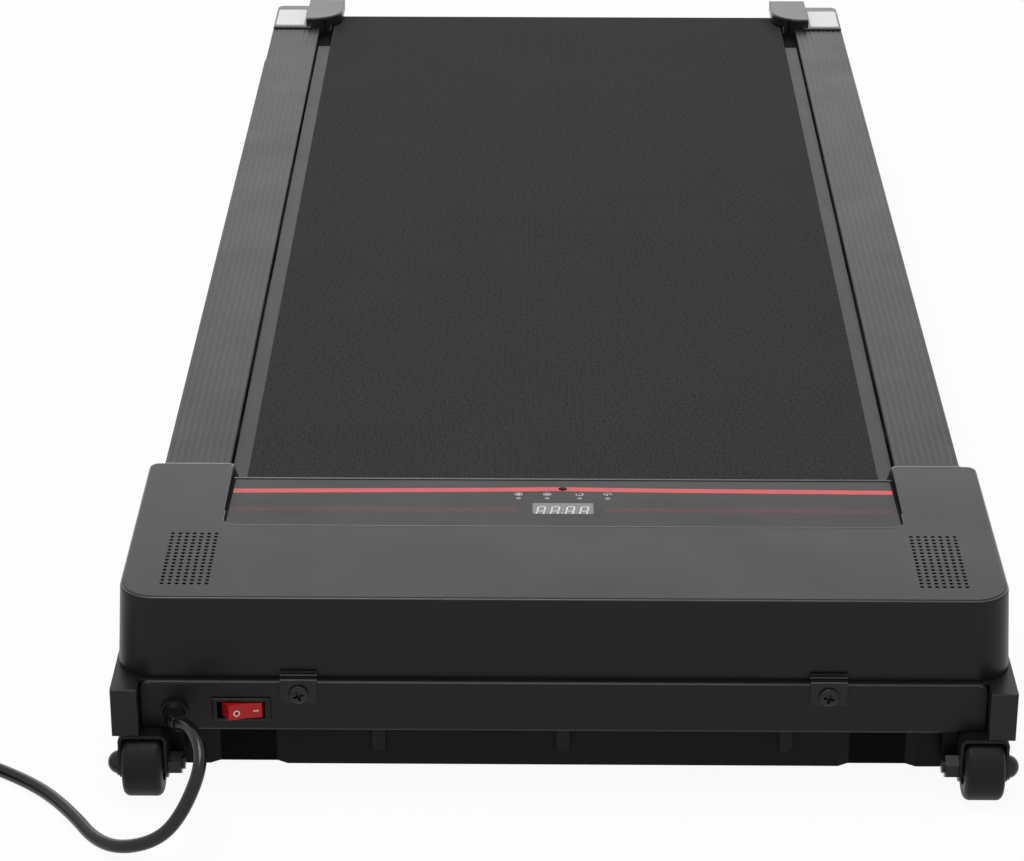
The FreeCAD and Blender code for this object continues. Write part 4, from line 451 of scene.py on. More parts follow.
def arc(centre, radius, start, end, steps):
    """Points of an arc round a centre, between two angles in degrees."""
    angles = [math.radians(start + (end - start) * index / steps) for index in range(steps + 1)]
    return [(centre[0] + radius * math.cos(angle), centre[1] + radius * math.sin(angle)) for angle in angles]


def outward(mesh):
    """Turn the faces of a closed mesh outwards."""
    shell = bmesh.new()
    shell.from_mesh(mesh)
    bmesh.ops.recalc_face_normals(shell, faces=shell.faces)
    shell.to_mesh(mesh)
    shell.free()
    return mesh


def swept_mesh(path, profile, finish, closed_path=False):
    """Mesh of a closed profile swept along a path, both as points in millimetres."""
    outline = poly_curve("sweep_outline", profile, True)
    bpy.context.scene.collection.objects.link(outline)
    host = poly_curve("sweep_path", path, closed_path)
    mesh = grow(profile_sweep, host, {"Profile": outline, "Caps": not closed_path, "Finish": finish})
    bpy.data.objects.remove(outline)
    return outward(mesh)


print("sweep tree with", len(profile_sweep.nodes), "nodes")


# %% [markdown]
# ## Walking belt
# The belt is a loop of woven polyester with a fine dotted face. Swept as a flat outline with rounded edges
# along a closed path round both rollers, it carries two attributes: how far along the loop and how far round
# the outline a point is. The weave is drawn on the first, so it runs over the rollers without stretching. A
# plain grid of dots is what the photograph shows near the hood, and a regular Voronoi makes one. Noise as
# fine as the threads roughens it, and a slow cloud of wear breaks it up.

# %% Weave of the belt
dot_pitch, thread_noise, wear_width = 1.3, 2.2, 90
belt_weave, tree, shader = new_finish("belt_weave", 0.85, 0.06)
along = add(tree, "Attribute", attribute_name="along").outputs["Fac"]
place = add(tree, "TexCoord").outputs["Object"]
sideways = add(tree, "SeparateXYZ", {"Vector": place}).outputs["X"]
flat_place = add(tree, "CombineXYZ", {"X": sideways, "Y": along}).outputs["Vector"]
dots = add(tree, "TexVoronoi", {"Vector": flat_place}, {"Scale": 1 / (dot_pitch * MM), "Randomness": 0.0},
           voronoi_dimensions="2D").outputs["Distance"]
threads = add(tree, "Math", {0: dots, 1: noise(tree, flat_place, thread_noise)}, {2: 0.12},
              operation="MULTIPLY_ADD").outputs[0]
worn = noise(tree, flat_place, wear_width, 3.0)
cloth = ramp(tree, threads, [(0.16, (0.005, 0.005, 0.0051, 1)), (0.36, (0.047, 0.047, 0.0466, 1))])
tint = ramp(tree, worn, [(0.3, (0.93, 0.93, 0.93, 1)), (0.7, (1.0, 1.0, 1.0, 1))])
mixed = add(tree, "Mix", {6: cloth, 7: tint}, {"Factor": 1.0}, data_type="RGBA", blend_type="MULTIPLY")
tree.links.new(mixed.outputs[2], shader.inputs["Base Color"])
tree.links.new(bump(tree, threads, 0.25, strength=0.6), shader.inputs["Normal"])
print("weave of dots every", dot_pitch, "mm")


# %% Belt swept round the rollers
def rounded_bar(half_width, half_height, corner, steps=4):
    """Closed outline of a bar with rounded corners, in millimetres."""
    points = []
    for x_side, y_side, start in ((1, 1, 0), (-1, 1, 90), (-1, -1, 180), (1, -1, 270)):
        centre = (x_side * (half_width - corner), y_side * (half_height - corner))
        points += [(*point, 0) for point in arc(centre, corner, start, start + 90, steps)]
    return points


def loop_path(front_y, rear_y, axis_z, radius, steps=24):
    """Closed path round two rollers, from the middle of the lower run to the front, in millimetres."""
    middle = (front_y + rear_y) / 2
    points = [(0, middle, axis_z - radius)]
    for roller, start in ((front_y, 270), (rear_y, 90)):
        points += [(0, *point) for point in arc((roller, axis_z), radius, start, start - 180, steps)]
    return points + [(0, middle + 1.0, axis_z - radius)]


belt_low, belt_high = (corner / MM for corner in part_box("walking_belt"))
roller_y = [sum(corner[1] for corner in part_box(name)) / 2 / MM for name in ("front_roller", "rear_roller")]
belt_thickness, belt_edge, belt_axis_z = 1.6, 0.55, (belt_low.z + belt_high.z) / 2
belt_radius = (belt_high.z - belt_low.z) / 2 - belt_thickness / 2
belt_mesh = swept_mesh(loop_path(*roller_y, belt_axis_z, belt_radius),
                       rounded_bar(belt_high.x, belt_thickness / 2, belt_edge), belt_weave, closed_path=True)
walking_belt = add_piece("woven_walking_belt", belt_mesh, "chassis")
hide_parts("walking_belt")
print("belt faces", len(belt_mesh.polygons), "radius", round(belt_radius, 2))

# %% [markdown]
# ## Foot rails
# The rails are long extrusions with shallow rounded ribs for grip. A rib is a wave in the outline, so the
# whole rail is one outline, with its skirt and its open underside, swept from hood to rear cap. That is how
# an extrusion is made, and it keeps the ribs soft, which cut grooves aren't.

# %% Ribbed rails
rib_count, rib_depth, rail_wall, inner_skirt, rail_round = 9, 0.34, 2.5, 14.0, 1.1


def rail_outline(low, high, steps=8):
    """Outline of the right rail as X and minus Z, in millimetres: outside, ribs, inside."""
    inner, outer, bottom, top = low.x, high.x, low.z, high.z
    points = [(outer, bottom)] + arc((outer - rail_round, top - rail_round), rail_round, 0, 90, 4)
    run = outer - inner - 2 * rail_round
    for index in range(1, rib_count * steps):
        share = index / (rib_count * steps)
        dip = rib_depth * (0.5 - 0.5 * math.cos(2 * math.pi * share * rib_count)) ** 1.5
        points.append((outer - rail_round - run * share, top - dip))
    points += arc((inner + rail_round, top - rail_round), rail_round, 90, 180, 4)
    points += [(inner, top - inner_skirt), (inner + rail_wall, top - inner_skirt),
               (inner + rail_wall, top - rail_wall), (outer - rail_wall, top - rail_wall),
               (outer - rail_wall, bottom)]
    return [(x, -z, 0) for x, z in points]


rail_low, rail_high = (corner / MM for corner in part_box("right_side_rail"))
for side, side_name in SIDES[::-1]:
    outline = [(side * x, y, z) for x, y, z in rail_outline(rail_low, rail_high)]
    rail_mesh = swept_mesh([(0, rail_low.y, 0), (0, rail_high.y, 0)], outline, finishes["rail_plastic"])
    rail = add_piece(side_name + "_ribbed_rail", rail_mesh, "chassis")
    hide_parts(side_name + "_side_rail")
    print(rail.name, len(rail_mesh.polygons), "faces")

# %% [markdown]
# ## Marks printed on the display panel
# The panel carries a broad red stripe that rises a little round the remote's eye, a faint band of dull red,
# four small icons with an indicator under each, and the time in seven-segment digits whose feet the window
# cuts off. All of them are thin films: a stripe is a flat outline swept along its line, and what repeats is
# one stamp set on points by a tree. Everything is placed in the panel's own frame: across, up from its front
# edge, and out of its face.

# %% The panel's frame, and film outlines
panel_front, panel_rear = (-474.5, 125.0), (-397.2, 120.0)
panel_slope = math.atan2(panel_front[1] - panel_rear[1], panel_rear[0] - panel_front[0])
panel_up = Vector((0, math.cos(panel_slope), -math.sin(panel_slope)))
panel_out = Vector((0, math.sin(panel_slope), math.cos(panel_slope)))


def on_panel(x, up, out=0.0):
    """A place on the display panel, in millimetres."""
    return Vector((x, *panel_front)) + panel_up * up + panel_out * out


def panel_film(width, low, high):
    """Outline of a film on the panel for a path along X: so wide, from a depth to a height."""
    corners = [panel_up * up + panel_out * out for up, out in (
        (-width / 2, low), (width / 2, low), (width / 2, high), (-width / 2, high))]
    return [(-corner.y, -corner.z, 0) for corner in corners]


def print_ink(name, colour, band=None, **sockets):
    """Slightly uneven ink. A band, as how far up the panel and half its width, fades to its edges."""
    finish, tree, shader = new_finish(name, 0.38, 0.22, **sockets)
    place = add(tree, "TexCoord").outputs["Object"]
    uneven = noise(tree, place, 14, 3.0)
    tree.links.new(ramp(tree, uneven, [(0.3, shade(colour, 0.88)), (0.7, shade(colour, 1.1))]),
                   shader.inputs["Base Color"])
    if band:
        middle_y, half_y = on_panel(0, band[0]).y * MM, band[1] * panel_up.y * MM
        across_way = add(tree, "SeparateXYZ", {"Vector": place}).outputs["Y"]
        off_middle = add(tree, "Math", {0: across_way}, {1: middle_y}, operation="SUBTRACT").outputs[0]
        away = add(tree, "Math", {0: off_middle}, operation="ABSOLUTE").outputs[0]
        cover = add(tree, "MapRange", {"Value": away}, {"From Min": half_y * 0.2, "From Max": half_y,
                    "To Min": 0.13, "To Max": 0.0}, interpolation_type="SMOOTHSTEP").outputs["Result"]
        tree.links.new(cover, shader.inputs["Alpha"])
    return finish


# %% Red stripe and faint bands
film_low, film_high = -0.1, 0.05
stripe_ink = print_ink("stripe_ink", (0.58, 0.030, 0.037))
stripe_width, line_up, line_half = 6.8, 27.3, 6.0
line_ink = print_ink("line_ink", (0.40, 0.060, 0.072), band=(line_up, line_half))
stripe_line = [(-206.2, 56.5), (-120, 58.3), (-60, 59.6), (-30, 60.5), (-15, 61.1), (-6, 61.35), (0, 61.4),
               (6, 61.35), (15, 61.1), (30, 60.5), (60, 59.8), (120, 59.0), (206.2, 57.9)]
stripe_mesh = swept_mesh([on_panel(*point) for point in stripe_line],
                         panel_film(stripe_width, film_low, film_high), stripe_ink)
add_piece("panel_red_stripe", stripe_mesh, "chassis")
for side_name, ends in (("left", (-203, -28)), ("right", (26, 203))):
    thin_line = [on_panel(x, line_up) for x in ends]
    line_mesh = swept_mesh(thin_line, panel_film(2 * line_half, film_low, 0.04), line_ink)
    add_piece(f"panel_{side_name}_thin_line", line_mesh, "chassis")
print("stripe faces", len(stripe_mesh.polygons))

# %% [markdown]
# A stamp tree sets one shape on every point of its host, turned to face a given way. It serves the icons, the
# digits and the screws.

# %% Tree that sets a stamp on points
def stamp_tree():
    """Tree that puts a shape on each of its host's points, with its own turn stored on the point."""
    tree, given, made = geometry_tree("stamp_on_points", [
        ("Stamp", "Object", None), ("Facing", "Rotation", None), ("Sharp Angle", "Float", 0.6),
        ("Finish", "Material", None)])
    shape = step(tree, "GeometryNodeObjectInfo", {"Object": given["Stamp"]}).outputs["Geometry"]
    turn = step(tree, "GeometryNodeInputNamedAttribute", values={"Name": "turn"}, data_type="FLOAT")
    euler = step(tree, "ShaderNodeCombineXYZ", {"Z": turn.outputs["Attribute"]}).outputs["Vector"]
    own = step(tree, "FunctionNodeEulerToRotation", {"Euler": euler}).outputs["Rotation"]
    facing = step(tree, "FunctionNodeRotateRotation",
                  {"Rotation": own, "Rotate By": given["Facing"]}).outputs["Rotation"]
    set_out = step(tree, "GeometryNodeInstanceOnPoints", {"Points": given["Geometry"], "Instance": shape,
                   "Rotation": facing}).outputs["Instances"]
    return end_tree(tree, set_out, given, made)


stamper = stamp_tree()


def stamped(shape, places, facing, finish, turns=None):
    """Mesh of a shape, in millimetres, set on some places and turned to face a way."""
    stamp = bpy.data.objects.new("stamp", shape)
    bpy.context.scene.collection.objects.link(stamp)
    dots = bpy.data.meshes.new("stamp_places")
    dots.from_pydata([Vector(place) * MM for place in places], [], [])
    dots.attributes.new("turn", "FLOAT", "POINT").data.foreach_set("value", turns or [0.0] * len(places))
    host = bpy.data.objects.new("stamp_places", dots)
    mesh = grow(stamper, host, {"Stamp": stamp, "Facing": facing, "Finish": finish})
    bpy.data.objects.remove(stamp)
    return outward(mesh)


def stacked(stacks):
    """Mesh of closed shells, each a stack of loops of points in millimetres, closed at both ends."""
    mesh = bpy.data.meshes.new("stacked")
    shell = bmesh.new()
    for loops in stacks:
        rings = [[shell.verts.new(Vector(point) * MM) for point in loop] for loop in loops]
        for lower, upper in zip(rings, rings[1:]):
            for index in range(len(lower)):
                after = (index + 1) % len(lower)
                shell.faces.new((lower[index], lower[after], upper[after], upper[index]))
        shell.faces.new(rings[0][::-1])
        shell.faces.new(rings[-1])
    shell.to_mesh(mesh)
    shell.free()
    return mesh


def films(outlines, low, high):
    """Mesh of flat outlines in X and Y, in millimetres, given a thickness."""
    return stacked([[(*point, height) for point in outline] for height in (low, high)]
                   for outline in outlines)


def disc(radius, centre=(0, 0), steps=20):
    """Outline of a round film."""
    return arc(centre, radius, 0, 360, steps)[:-1]


def ring(radius, width, start=0, end=360, steps=28):
    """Outlines of the short pieces of a ring, or of a part of one."""
    inner, outer = (arc((0, 0), radius + side * width / 2, start, end, steps) for side in (-1, 1))
    return [list(corners) for corners in zip(inner, outer, outer[1:], inner[1:])]


def bar(start, end, width):
    """Outline of a straight stroke between two points."""
    start, end = Vector(start), Vector(end)
    run = (end - start).normalized() * width / 2
    side = Vector((-run.y, run.x))
    return [tuple(point) for point in (start - side, end - side, end + side, start + side)]


print("stamp tree with", len(stamper.nodes), "nodes")

# %% Icons and indicators
pale_ink = print_ink("pale_ink", (0.50, 0.50, 0.51))
panel_facing = (-panel_slope, 0.0, 0.0)
icon_across, icon_up, lamp_up = (-27.7, -9.8, 10.5, 27.9), 52.8, 46.1
icon_marks = {
    "speed": ring(2.3, 0.5) + [disc(1.25)],
    "distance": ring(2.3, 0.45) + [disc(1.1)] + [bar((side, 0), (side * 2.6, 0), 0.7) for side in (-1, 1)],
    "time": ring(2.2, 0.6, 150, 420) + [bar((-0.2, 0.2), (0.5, 1.2), 0.6)],
    "energy": ring(2.3, 0.55, -20, 195) + [[(-1.4, -2.0), (0.7, -1.5), (-0.3, 0.4)]],
}
for (icon_name, outlines), x in zip(icon_marks.items(), icon_across):
    icon_film = films(outlines, film_low, film_high)
    icon_mesh = stamped(icon_film, [on_panel(x, icon_up)], panel_facing, pale_ink)
    add_piece(f"panel_{icon_name}_icon", icon_mesh, "chassis")
lamp_places = [on_panel(x, lamp_up) for x in icon_across]
lamp_film = films(ring(1.15, 0.5) + [disc(0.35)], film_low, film_high)
lamp_mesh = stamped(lamp_film, lamp_places, panel_facing, pale_ink)
add_piece("panel_indicators", lamp_mesh, "chassis")
print(len(icon_marks), "icons,", len(lamp_places), "indicators")

# %% [markdown]
# A digit is made of six-sided strokes, leaned over a little. Its feet are cut where the window ends, as in
# the photograph, so the seventh stroke, at the foot, is left out. The strokes glow faintly, because they are
# lit from behind.

# %% Seven-segment digits behind the window's edge
digit_width, digit_half, stroke, stroke_gap, lean, window_edge = 4.4, 7.1, 0.85, 0.25, 0.10, -4.5
digit_across, digit_up, digit_high = (-13.7, -5.0, 4.3, 13.0), 25.3, 0.06
colon_across, colon_half, colon_radius = -0.4, 2.6, 0.42


def segment(start, end):
    """Outline of one six-sided stroke, leaned and cut at the window's edge."""
    run = (Vector(end) - Vector(start)).normalized()
    side = Vector((-run.y, run.x)) * stroke / 2
    first, last = Vector(start) + run * stroke_gap, Vector(end) - run * stroke_gap
    inset = run * stroke / 2
    points = [first, first + inset - side, last - inset - side,
              last, last - inset + side, first + inset + side]
    return [(point.x + lean * point.y, max(point.y, window_edge)) for point in points]


half = digit_width / 2
digit_strokes = (((-half, digit_half), (half, digit_half)), ((-half, 0), (half, 0)),
                 ((-half, 0), (-half, digit_half)), ((half, 0), (half, digit_half)),
                 ((-half, -digit_half), (-half, 0)), ((half, -digit_half), (half, 0)))
digit_light = print_ink("digit_light", (0.64, 0.64, 0.65), Emission_Color=(1, 1, 1, 1),
                        Emission_Strength=0.10)
digit_film = films([segment(*ends) for ends in digit_strokes], film_low, digit_high)
digit_places = [on_panel(x, digit_up) for x in digit_across]
digit_mesh = stamped(digit_film, digit_places, panel_facing, digit_light)
add_piece("display_digits", digit_mesh, "chassis")
colon_places = [on_panel(colon_across + lean * up, digit_up + up) for up in (-colon_half, colon_half)]
colon_film = films([disc(colon_radius)], film_low, digit_high)
colon_mesh = stamped(colon_film, colon_places, panel_facing, digit_light)
add_piece("display_colon", colon_mesh, "chassis")
print("digits", len(digit_mesh.polygons), "faces")

# %% [markdown]
# ## Edges of the panel
# Along its rear edge the panel has a small rounded lip that reads as a bright line, and before it a thin
# black film of painted shade reads as the dark line of a groove. Along the front and round both corners the
# hood's opening has a fine rounded edge that catches the light, and black films of painted shade run along
# the sides where a narrow gap shows. The lip and the edge are thin beads of a glossier finish whose lighter
# colour is a painted highlight, and a bead is a circle swept along the edge.

# %% Helpers for beads and edges
# Bead finishes: each lighter base colour is a painted highlight, on top of a glossier roughness and specular
for highlight_name, colour, roughness, specular in (
        ("lip_painted_highlight", (0.055, 0.055, 0.056), 0.24, 0.6), ("bead_painted_highlight", (0.085, 0.085, 0.087), 0.22, 0.7),
        ("rim_painted_highlight", (0.018, 0.018, 0.0185), 0.20, 0.8), ("horn_painted_highlight", (0.24, 0.24, 0.243), 0.28, 0.7),
        ("fold_painted_highlight", (0.030, 0.030, 0.031), 0.26, 0.5)):
    finishes[highlight_name] = surface_finish(highlight_name, colour, roughness, specular, 0.8, 0.004, edge_mm=0.05)
# Black for painted shade and shadow: the panel's groove and side gaps, the horn wedges, the deck's rear slot
# and the pan's pockets
painted_shade_black = surface_finish("painted_shade_black", (0.002, 0.002, 0.002), 0.7, 0.05, 0.6, 0.01)


def add_bead(name, path, radius, highlight_name):
    """A fine round bead along a path, in millimetres."""
    outline = [(*point, 0) for point in disc(radius, steps=14)]
    mesh = swept_mesh(path, outline, finishes[highlight_name])
    add_piece(name, mesh, "chassis")
    print(name, len(mesh.polygons), "faces")


def front_edge(half_width, front, corner, rear, steps):
    """Path along a front edge and back along both sides, with round corners."""
    left, right = (arc((side * (half_width - corner), front + corner), corner, start, start + 90, steps)
                   for side, start in ((-1, 180), (1, 270)))
    return [(-half_width, rear), *left, *right, (half_width, rear)]


# %% Lip, grooves and bead of the panel
lip_reach, lip_up, lip_sink, groove_up = 207.6, 78.1, -0.3, 76.5
lip_path = [on_panel(x, lip_up, lip_sink) for x in (-lip_reach, lip_reach)]
# The lip's bright line is partly a painted highlight, from its finish's lighter colour
add_bead("panel_rear_lip", lip_path, 0.85, "lip_painted_highlight")
# A black film of painted shade stands for the groove before the lip
groove_path = [on_panel(x, groove_up) for x in (-lip_reach, lip_reach)]
groove_shade_mesh = swept_mesh(groove_path, panel_film(1.5, -0.2, 0.03), painted_shade_black)
add_piece("panel_rear_groove", groove_shade_mesh, "chassis")
# Black films of painted shade along the panel's sides, where the horns' walls rise from it
side_across, side_ends, side_half, side_low, side_high = 207.3, (5.0, 77.0), 0.95, -0.04, 0.2
side_film = [(-side_half, side_low, 0), (side_half, side_low, 0), (side_half, side_high, 0),
             (-side_half, side_high, 0)]
for side, side_name in SIDES:
    groove_shade_mesh = swept_mesh([on_panel(side * side_across, up) for up in side_ends], side_film, painted_shade_black)
    add_piece(f"panel_{side_name}_groove", groove_shade_mesh, "chassis")
edge_half, edge_corner, edge_rear, edge_out = 208.5, 9.0, 22.0, 0.15
edge_path = front_edge(edge_half, 0.0, edge_corner, edge_rear, 9)
# The bead's lighter colour is a painted highlight round the opening's edge
add_bead("panel_edge_bead", [on_panel(x, up, edge_out) for x, up in edge_path], 0.42, "bead_painted_highlight")

# %% [markdown]
# The hood's top edge has a bead of the same kind, with a painted highlight in its lighter colour, so it shows
# as a fine line along the sides, round the two front corners and across the end of each horn. Beside each
# horn's end, a thin black wedge on the deck is painted shadow. At the deck's other end, a black block of
# painted shade fills the slot between belt and rail and runs in under the rear cap.

# %% Top edge of the hood, with a painted highlight
hood_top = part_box("motor_hood")[1].z / MM
top_half, top_front, top_corner, top_inset = 261.7, -570.7, 22.0, 0.75
horn_end, horn_inside, rim_rear = -385.0, 208.3, -392.0
rim_path = front_edge(top_half - top_inset, top_front + top_inset, top_corner - top_inset, rim_rear, 12)
# The rim's lighter colour is a painted highlight along the hood's top edge
add_bead("hood_top_rim", [(x, y, hood_top - top_inset) for x, y in rim_path], 0.45, "rim_painted_highlight")
# Outwards from the horn's inside, forwards from its end and down from its top
horn_line = ((44.0, 1.4, 0.35), (4.4, 1.4, 0.35), (2.4, 1.8, 0.35), (1.1, 2.8, 0.4), (0.5, 4.2, 0.5),
             (0.6, 6.0, 0.9))


# %% Ends of the horns, and painted shade on the deck
def add_flat_block(name, outline, low, high, finish):
    """A flat block, from its outline in X and Y, in millimetres."""
    add_piece(name, outward(films([outline], low, high)), "chassis", finish)


def oblong(side, across, onward):
    """Outline of an oblong on one side of the pad, between two places each way."""
    corners = ((across[0], onward[0]), (across[1], onward[0]), (across[1], onward[1]), (across[0], onward[1]))
    return [(side * x, y) for x, y in corners]


deck_rear, deck_top = (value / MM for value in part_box("deck")[1].yz)
wedge_outside, wedge_inside, wedge_ends = 211.0, 204.2, (horn_end + 17.0, horn_end - 8.0)
slot_across, slot_ends = (200.9, 211.5), (deck_rear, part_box("left_rear_cap")[0].y / MM + 14.0)
block_top, block_height = deck_top - 3.0, 16.0
for side, side_name in SIDES:
    horn_rim = [(side * (horn_inside + out), horn_end - forward, hood_top - down)
                for out, forward, down in horn_line]
    # The horn's end bead is pale grey: a painted highlight
    add_bead(f"{side_name}_horn_rim", horn_rim, 0.6, "horn_painted_highlight")
    # A thin black wedge on the deck beside the horn's end is painted shadow
    wedge = [(side * x, y) for x, y in ((wedge_outside, wedge_ends[0]), (wedge_outside, wedge_ends[1]),
                                        (wedge_inside, wedge_ends[1]))]
    add_flat_block(f"{side_name}_horn_foam", wedge, deck_top + 0.05, deck_top + 0.5,
             painted_shade_black)
    # A black block of painted shade fills the slot at the deck's rear end
    add_flat_block(f"{side_name}_deck_foam", oblong(side, slot_across, slot_ends), block_top - block_height,
             block_top, painted_shade_black)
print("foam behind the deck to", round(slot_ends[1], 1))

# %% [markdown]
# The front bar and the two clips are folded sheet, and each fold shows as a fine bright line: along the bar's
# top edge, and twice across each clip. A bead runs along each fold, and its lighter colour is a painted
# highlight.

# %% Folds of bar and clips, with painted highlights
bar_low, bar_high = (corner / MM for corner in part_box("front_bar"))
fold_reach, fold_inset, fold_turn = 243.0, 0.6, 5.0
fold_y, turn_z = bar_low.y + fold_inset, bar_high.z - fold_inset - fold_turn
fold_line = arc((-fold_reach, turn_z), fold_turn, 180, 90, 6) + arc((fold_reach, turn_z), fold_turn, 90, 0, 6)
# The bar's top fold bead: a painted highlight in its lighter colour
add_bead("bar_top_fold", [(x, fold_y, z) for x, z in fold_line], 0.42, "fold_painted_highlight")
clip_low, clip_high = (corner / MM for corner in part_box("hood_clips"))
clip_width, lip_foot, lip_face = 21.8, clip_high.z - 3.0, -574.5
clip_folds = (("lower", clip_low.y + 0.25, lip_foot - 0.25), ("upper", lip_face - 0.1, lip_foot + 0.5))
# Two beads across each clip, each with a painted highlight in its colour
for side_name, outer in (("left", clip_low.x), ("right", clip_high.x)):
    ends = sorted((outer, outer - math.copysign(clip_width, outer)))
    for level_name, y, z in clip_folds:
        add_bead(f"{side_name}_clip_{level_name}_fold", [(x, y, z) for x in ends], 0.45, "fold_painted_highlight")

# %% [markdown]
# Under the bar, the pan's short ribs end in round tongues, its two raised pockets are lined with black films
# of painted shade, and a strip of foam closes the gap between the pan and the wheel bracket on each side.

# %% Tongues, pocket shade and foam of the pan
pan_front, under_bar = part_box("belly_pan")[0].y / MM, bar_low.z - 0.2
tongue_plastic = surface_finish("tongue_plastic", (0.009, 0.009, 0.0094), 0.5, 0.14, 0.7, 0.02, edge_mm=0.4)
tongue_half, tongue_length, tongue_across = 3.9, 20.0, (-110.0, 0.0, 133.0)
tongue = [(tongue_half, 0), (-tongue_half, 0)]
tongue += arc((0, tongue_half - tongue_length), tongue_half, 180, 360, 12)
tongue_places = [(x, pan_front, under_bar) for x in tongue_across]
upright_facing = (math.pi / 2, 0.0, 0.0)
tongue_mesh = stamped(films([tongue], -0.2, 0.4), tongue_places, upright_facing, tongue_plastic)
add_piece("pan_tongues", tongue_mesh, "chassis")
pocket_across, pocket_heights, pocket_place = (171.5, 205.0), (10.4, under_bar), (0, pan_front + 5.4, 0)
foam_across, foam_ends, foam_foot = (225.5, 234.2), (-571.5, -563.4), 20.0
# Each side: a black film of painted shade in the pocket, and a strip of foam
for side, side_name in SIDES:
    pocket_shade_film = films([oblong(side, pocket_across, pocket_heights)], -0.05, 0.12)
    pocket_shade_mesh = stamped(pocket_shade_film, [pocket_place], upright_facing, painted_shade_black)
    add_piece(f"{side_name}_pan_pocket_lining", pocket_shade_mesh, "chassis")
    add_flat_block(f"{side_name}_pan_foam", oblong(side, foam_across, foam_ends), foam_foot, under_bar,
             finishes["pan_plastic"])
print("tongues", len(tongue_mesh.polygons), "faces")

# %% [markdown]
# ## Screws and lens
# The clip screws have domed heads with a deep cross recess, and those under the pan are the same, smaller. A
# head is turned from its side view and the recess is cut from it. The stamp tree sets the screws in place,
# each turned a little differently, because nobody lines them up. The remote's eye is turned too: a dark lens
# that stands a little out of the stripe, so the stripe's film doesn't cover it.

# %% Helpers for turned and cut pieces
def turned(outline, steps=40):
    """Mesh turned about Z from radius and height pairs, in millimetres, closed at both ends."""
    return stacked([[[(*point, height) for point in disc(radius, steps=steps)]
                     for radius, height in outline]])


def cut_from(mesh, cutter):
    """Cut one closed mesh from another."""
    body, tool = bpy.data.objects.new("cut_body", mesh), bpy.data.objects.new("cut_tool", cutter)
    for item in (body, tool):
        bpy.context.scene.collection.objects.link(item)
    modifier = body.modifiers.new("cut", "BOOLEAN")
    modifier.operation, modifier.object, modifier.solver = "DIFFERENCE", tool, "EXACT"
    bpy.context.view_layer.update()
    result = bpy.data.meshes.new_from_object(body.evaluated_get(bpy.context.evaluated_depsgraph_get()))
    for item in (body, tool):
        bpy.data.objects.remove(item)
    return result


def screw_head(radius, height, shank_radius, shank_length, recess, recess_depth):
    """Domed head with a cross recess, face towards plus Z and its seat at zero, on a plain shank."""
    dome = [(radius * math.cos(math.radians(angle)), height * (0.35 + 0.65 * math.sin(math.radians(angle))))
            for angle in range(0, 90, 10)] + [(radius * 0.06, height)]
    body = turned([(shank_radius, -shank_length), (shank_radius, 0), (radius * 0.97, 0)] + dome)
    arm, notch = 0.55, 0.85
    cross = [(recess, arm), (notch, notch), (arm, recess)]
    for _ in range(3):
        cross += [(-y, x) for x, y in cross[-3:]]
    return cut_from(body, films([cross], height - recess_depth, height + 1.0))


# %% Lens of the remote's eye
lens_black = surface_finish("lens_black", (0.0015, 0.0015, 0.0016), 0.45, 0.04, 2.0, 0.001, edge_mm=0.1)
lens_outline, eye_up = [(2.8, -1.2), (2.8, 0.1), (2.5, 0.3), (1.6, 0.5), (0.5, 0.58)], 61.8
eye_mesh = stamped(turned(lens_outline), [on_panel(0, eye_up)], panel_facing, lens_black)
eye_lens = add_piece("remote_eye_lens", eye_mesh, "chassis")
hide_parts("remote_eye")
print("lens", len(eye_mesh.polygons), "faces")

# %% Screws of the clips and the pan
screw_steel = surface_finish("screw_steel", (0.010, 0.010, 0.0105), 0.30, 0.35, 1.0, 0.01, metallic=0.3,
                             edge_mm=0.25)
clip_height, clip_inset, pan_height, pan_inset = 3.0, 5.5, 2.4, 4.0
head_low, head_high = (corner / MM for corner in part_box("hood_clip_screws"))
clip_head = screw_head(radius=5.9, height=clip_height, shank_radius=2.5, shank_length=4.5, recess=3.3,
                       recess_depth=2.6)
clip_screw_places = [(x, head_low.y + clip_height, (head_low.z + head_high.z) / 2)
                     for x in (head_low.x + clip_inset, head_high.x - clip_inset)]
clip_screw_mesh = stamped(clip_head, clip_screw_places, upright_facing, screw_steel, [0.35, -0.2])
clip_screws = add_piece("clip_screws", clip_screw_mesh, "chassis")
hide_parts("hood_clip_screws")
pan_low, pan_high = (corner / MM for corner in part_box("belly_pan_screws"))
pan_head = screw_head(radius=4.0, height=pan_height, shank_radius=2.0, recess=2.2, recess_depth=1.6,
                      shank_length=pan_high.z - pan_low.z - pan_height)
pan_screw_places = [(x, y, pan_low.z + pan_height) for x in (pan_low.x + pan_inset, pan_high.x - pan_inset)
                    for y in (pan_low.y + pan_inset, pan_high.y - pan_inset)]
pan_screw_mesh = stamped(pan_head, pan_screw_places, (math.pi, 0.0, 0.0), finishes["zinc_steel"],
                         [0.1, 0.7, 1.1, 0.4])
pan_screws = add_piece("pan_screws", pan_screw_mesh, "chassis")
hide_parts("belly_pan_screws")
print("screws", len(clip_screw_mesh.polygons), len(pan_screw_mesh.polygons), "faces")

# %% [markdown]
# ## Marks on the rocker
# The rocker's face has two facets that meet in a shallow valley, and the whole of it is tipped. It has a ring
# on the end that stands out and a stroke on the other, printed white. They ride with the rocker, and each
# lies flat on its own facet.

# %% Ring and stroke of the switch
mark_ink = print_ink("mark_ink", (0.78, 0.74, 0.74))
rocker_pivot, rocker_tip = Vector((-190.0, -569.8, 55.4)), math.radians(12.0)
valley_rise, ridge_rise, ridge_half = 11.4, 12.2, 9.9
facet_lean = math.atan2(ridge_rise - valley_rise, ridge_half)


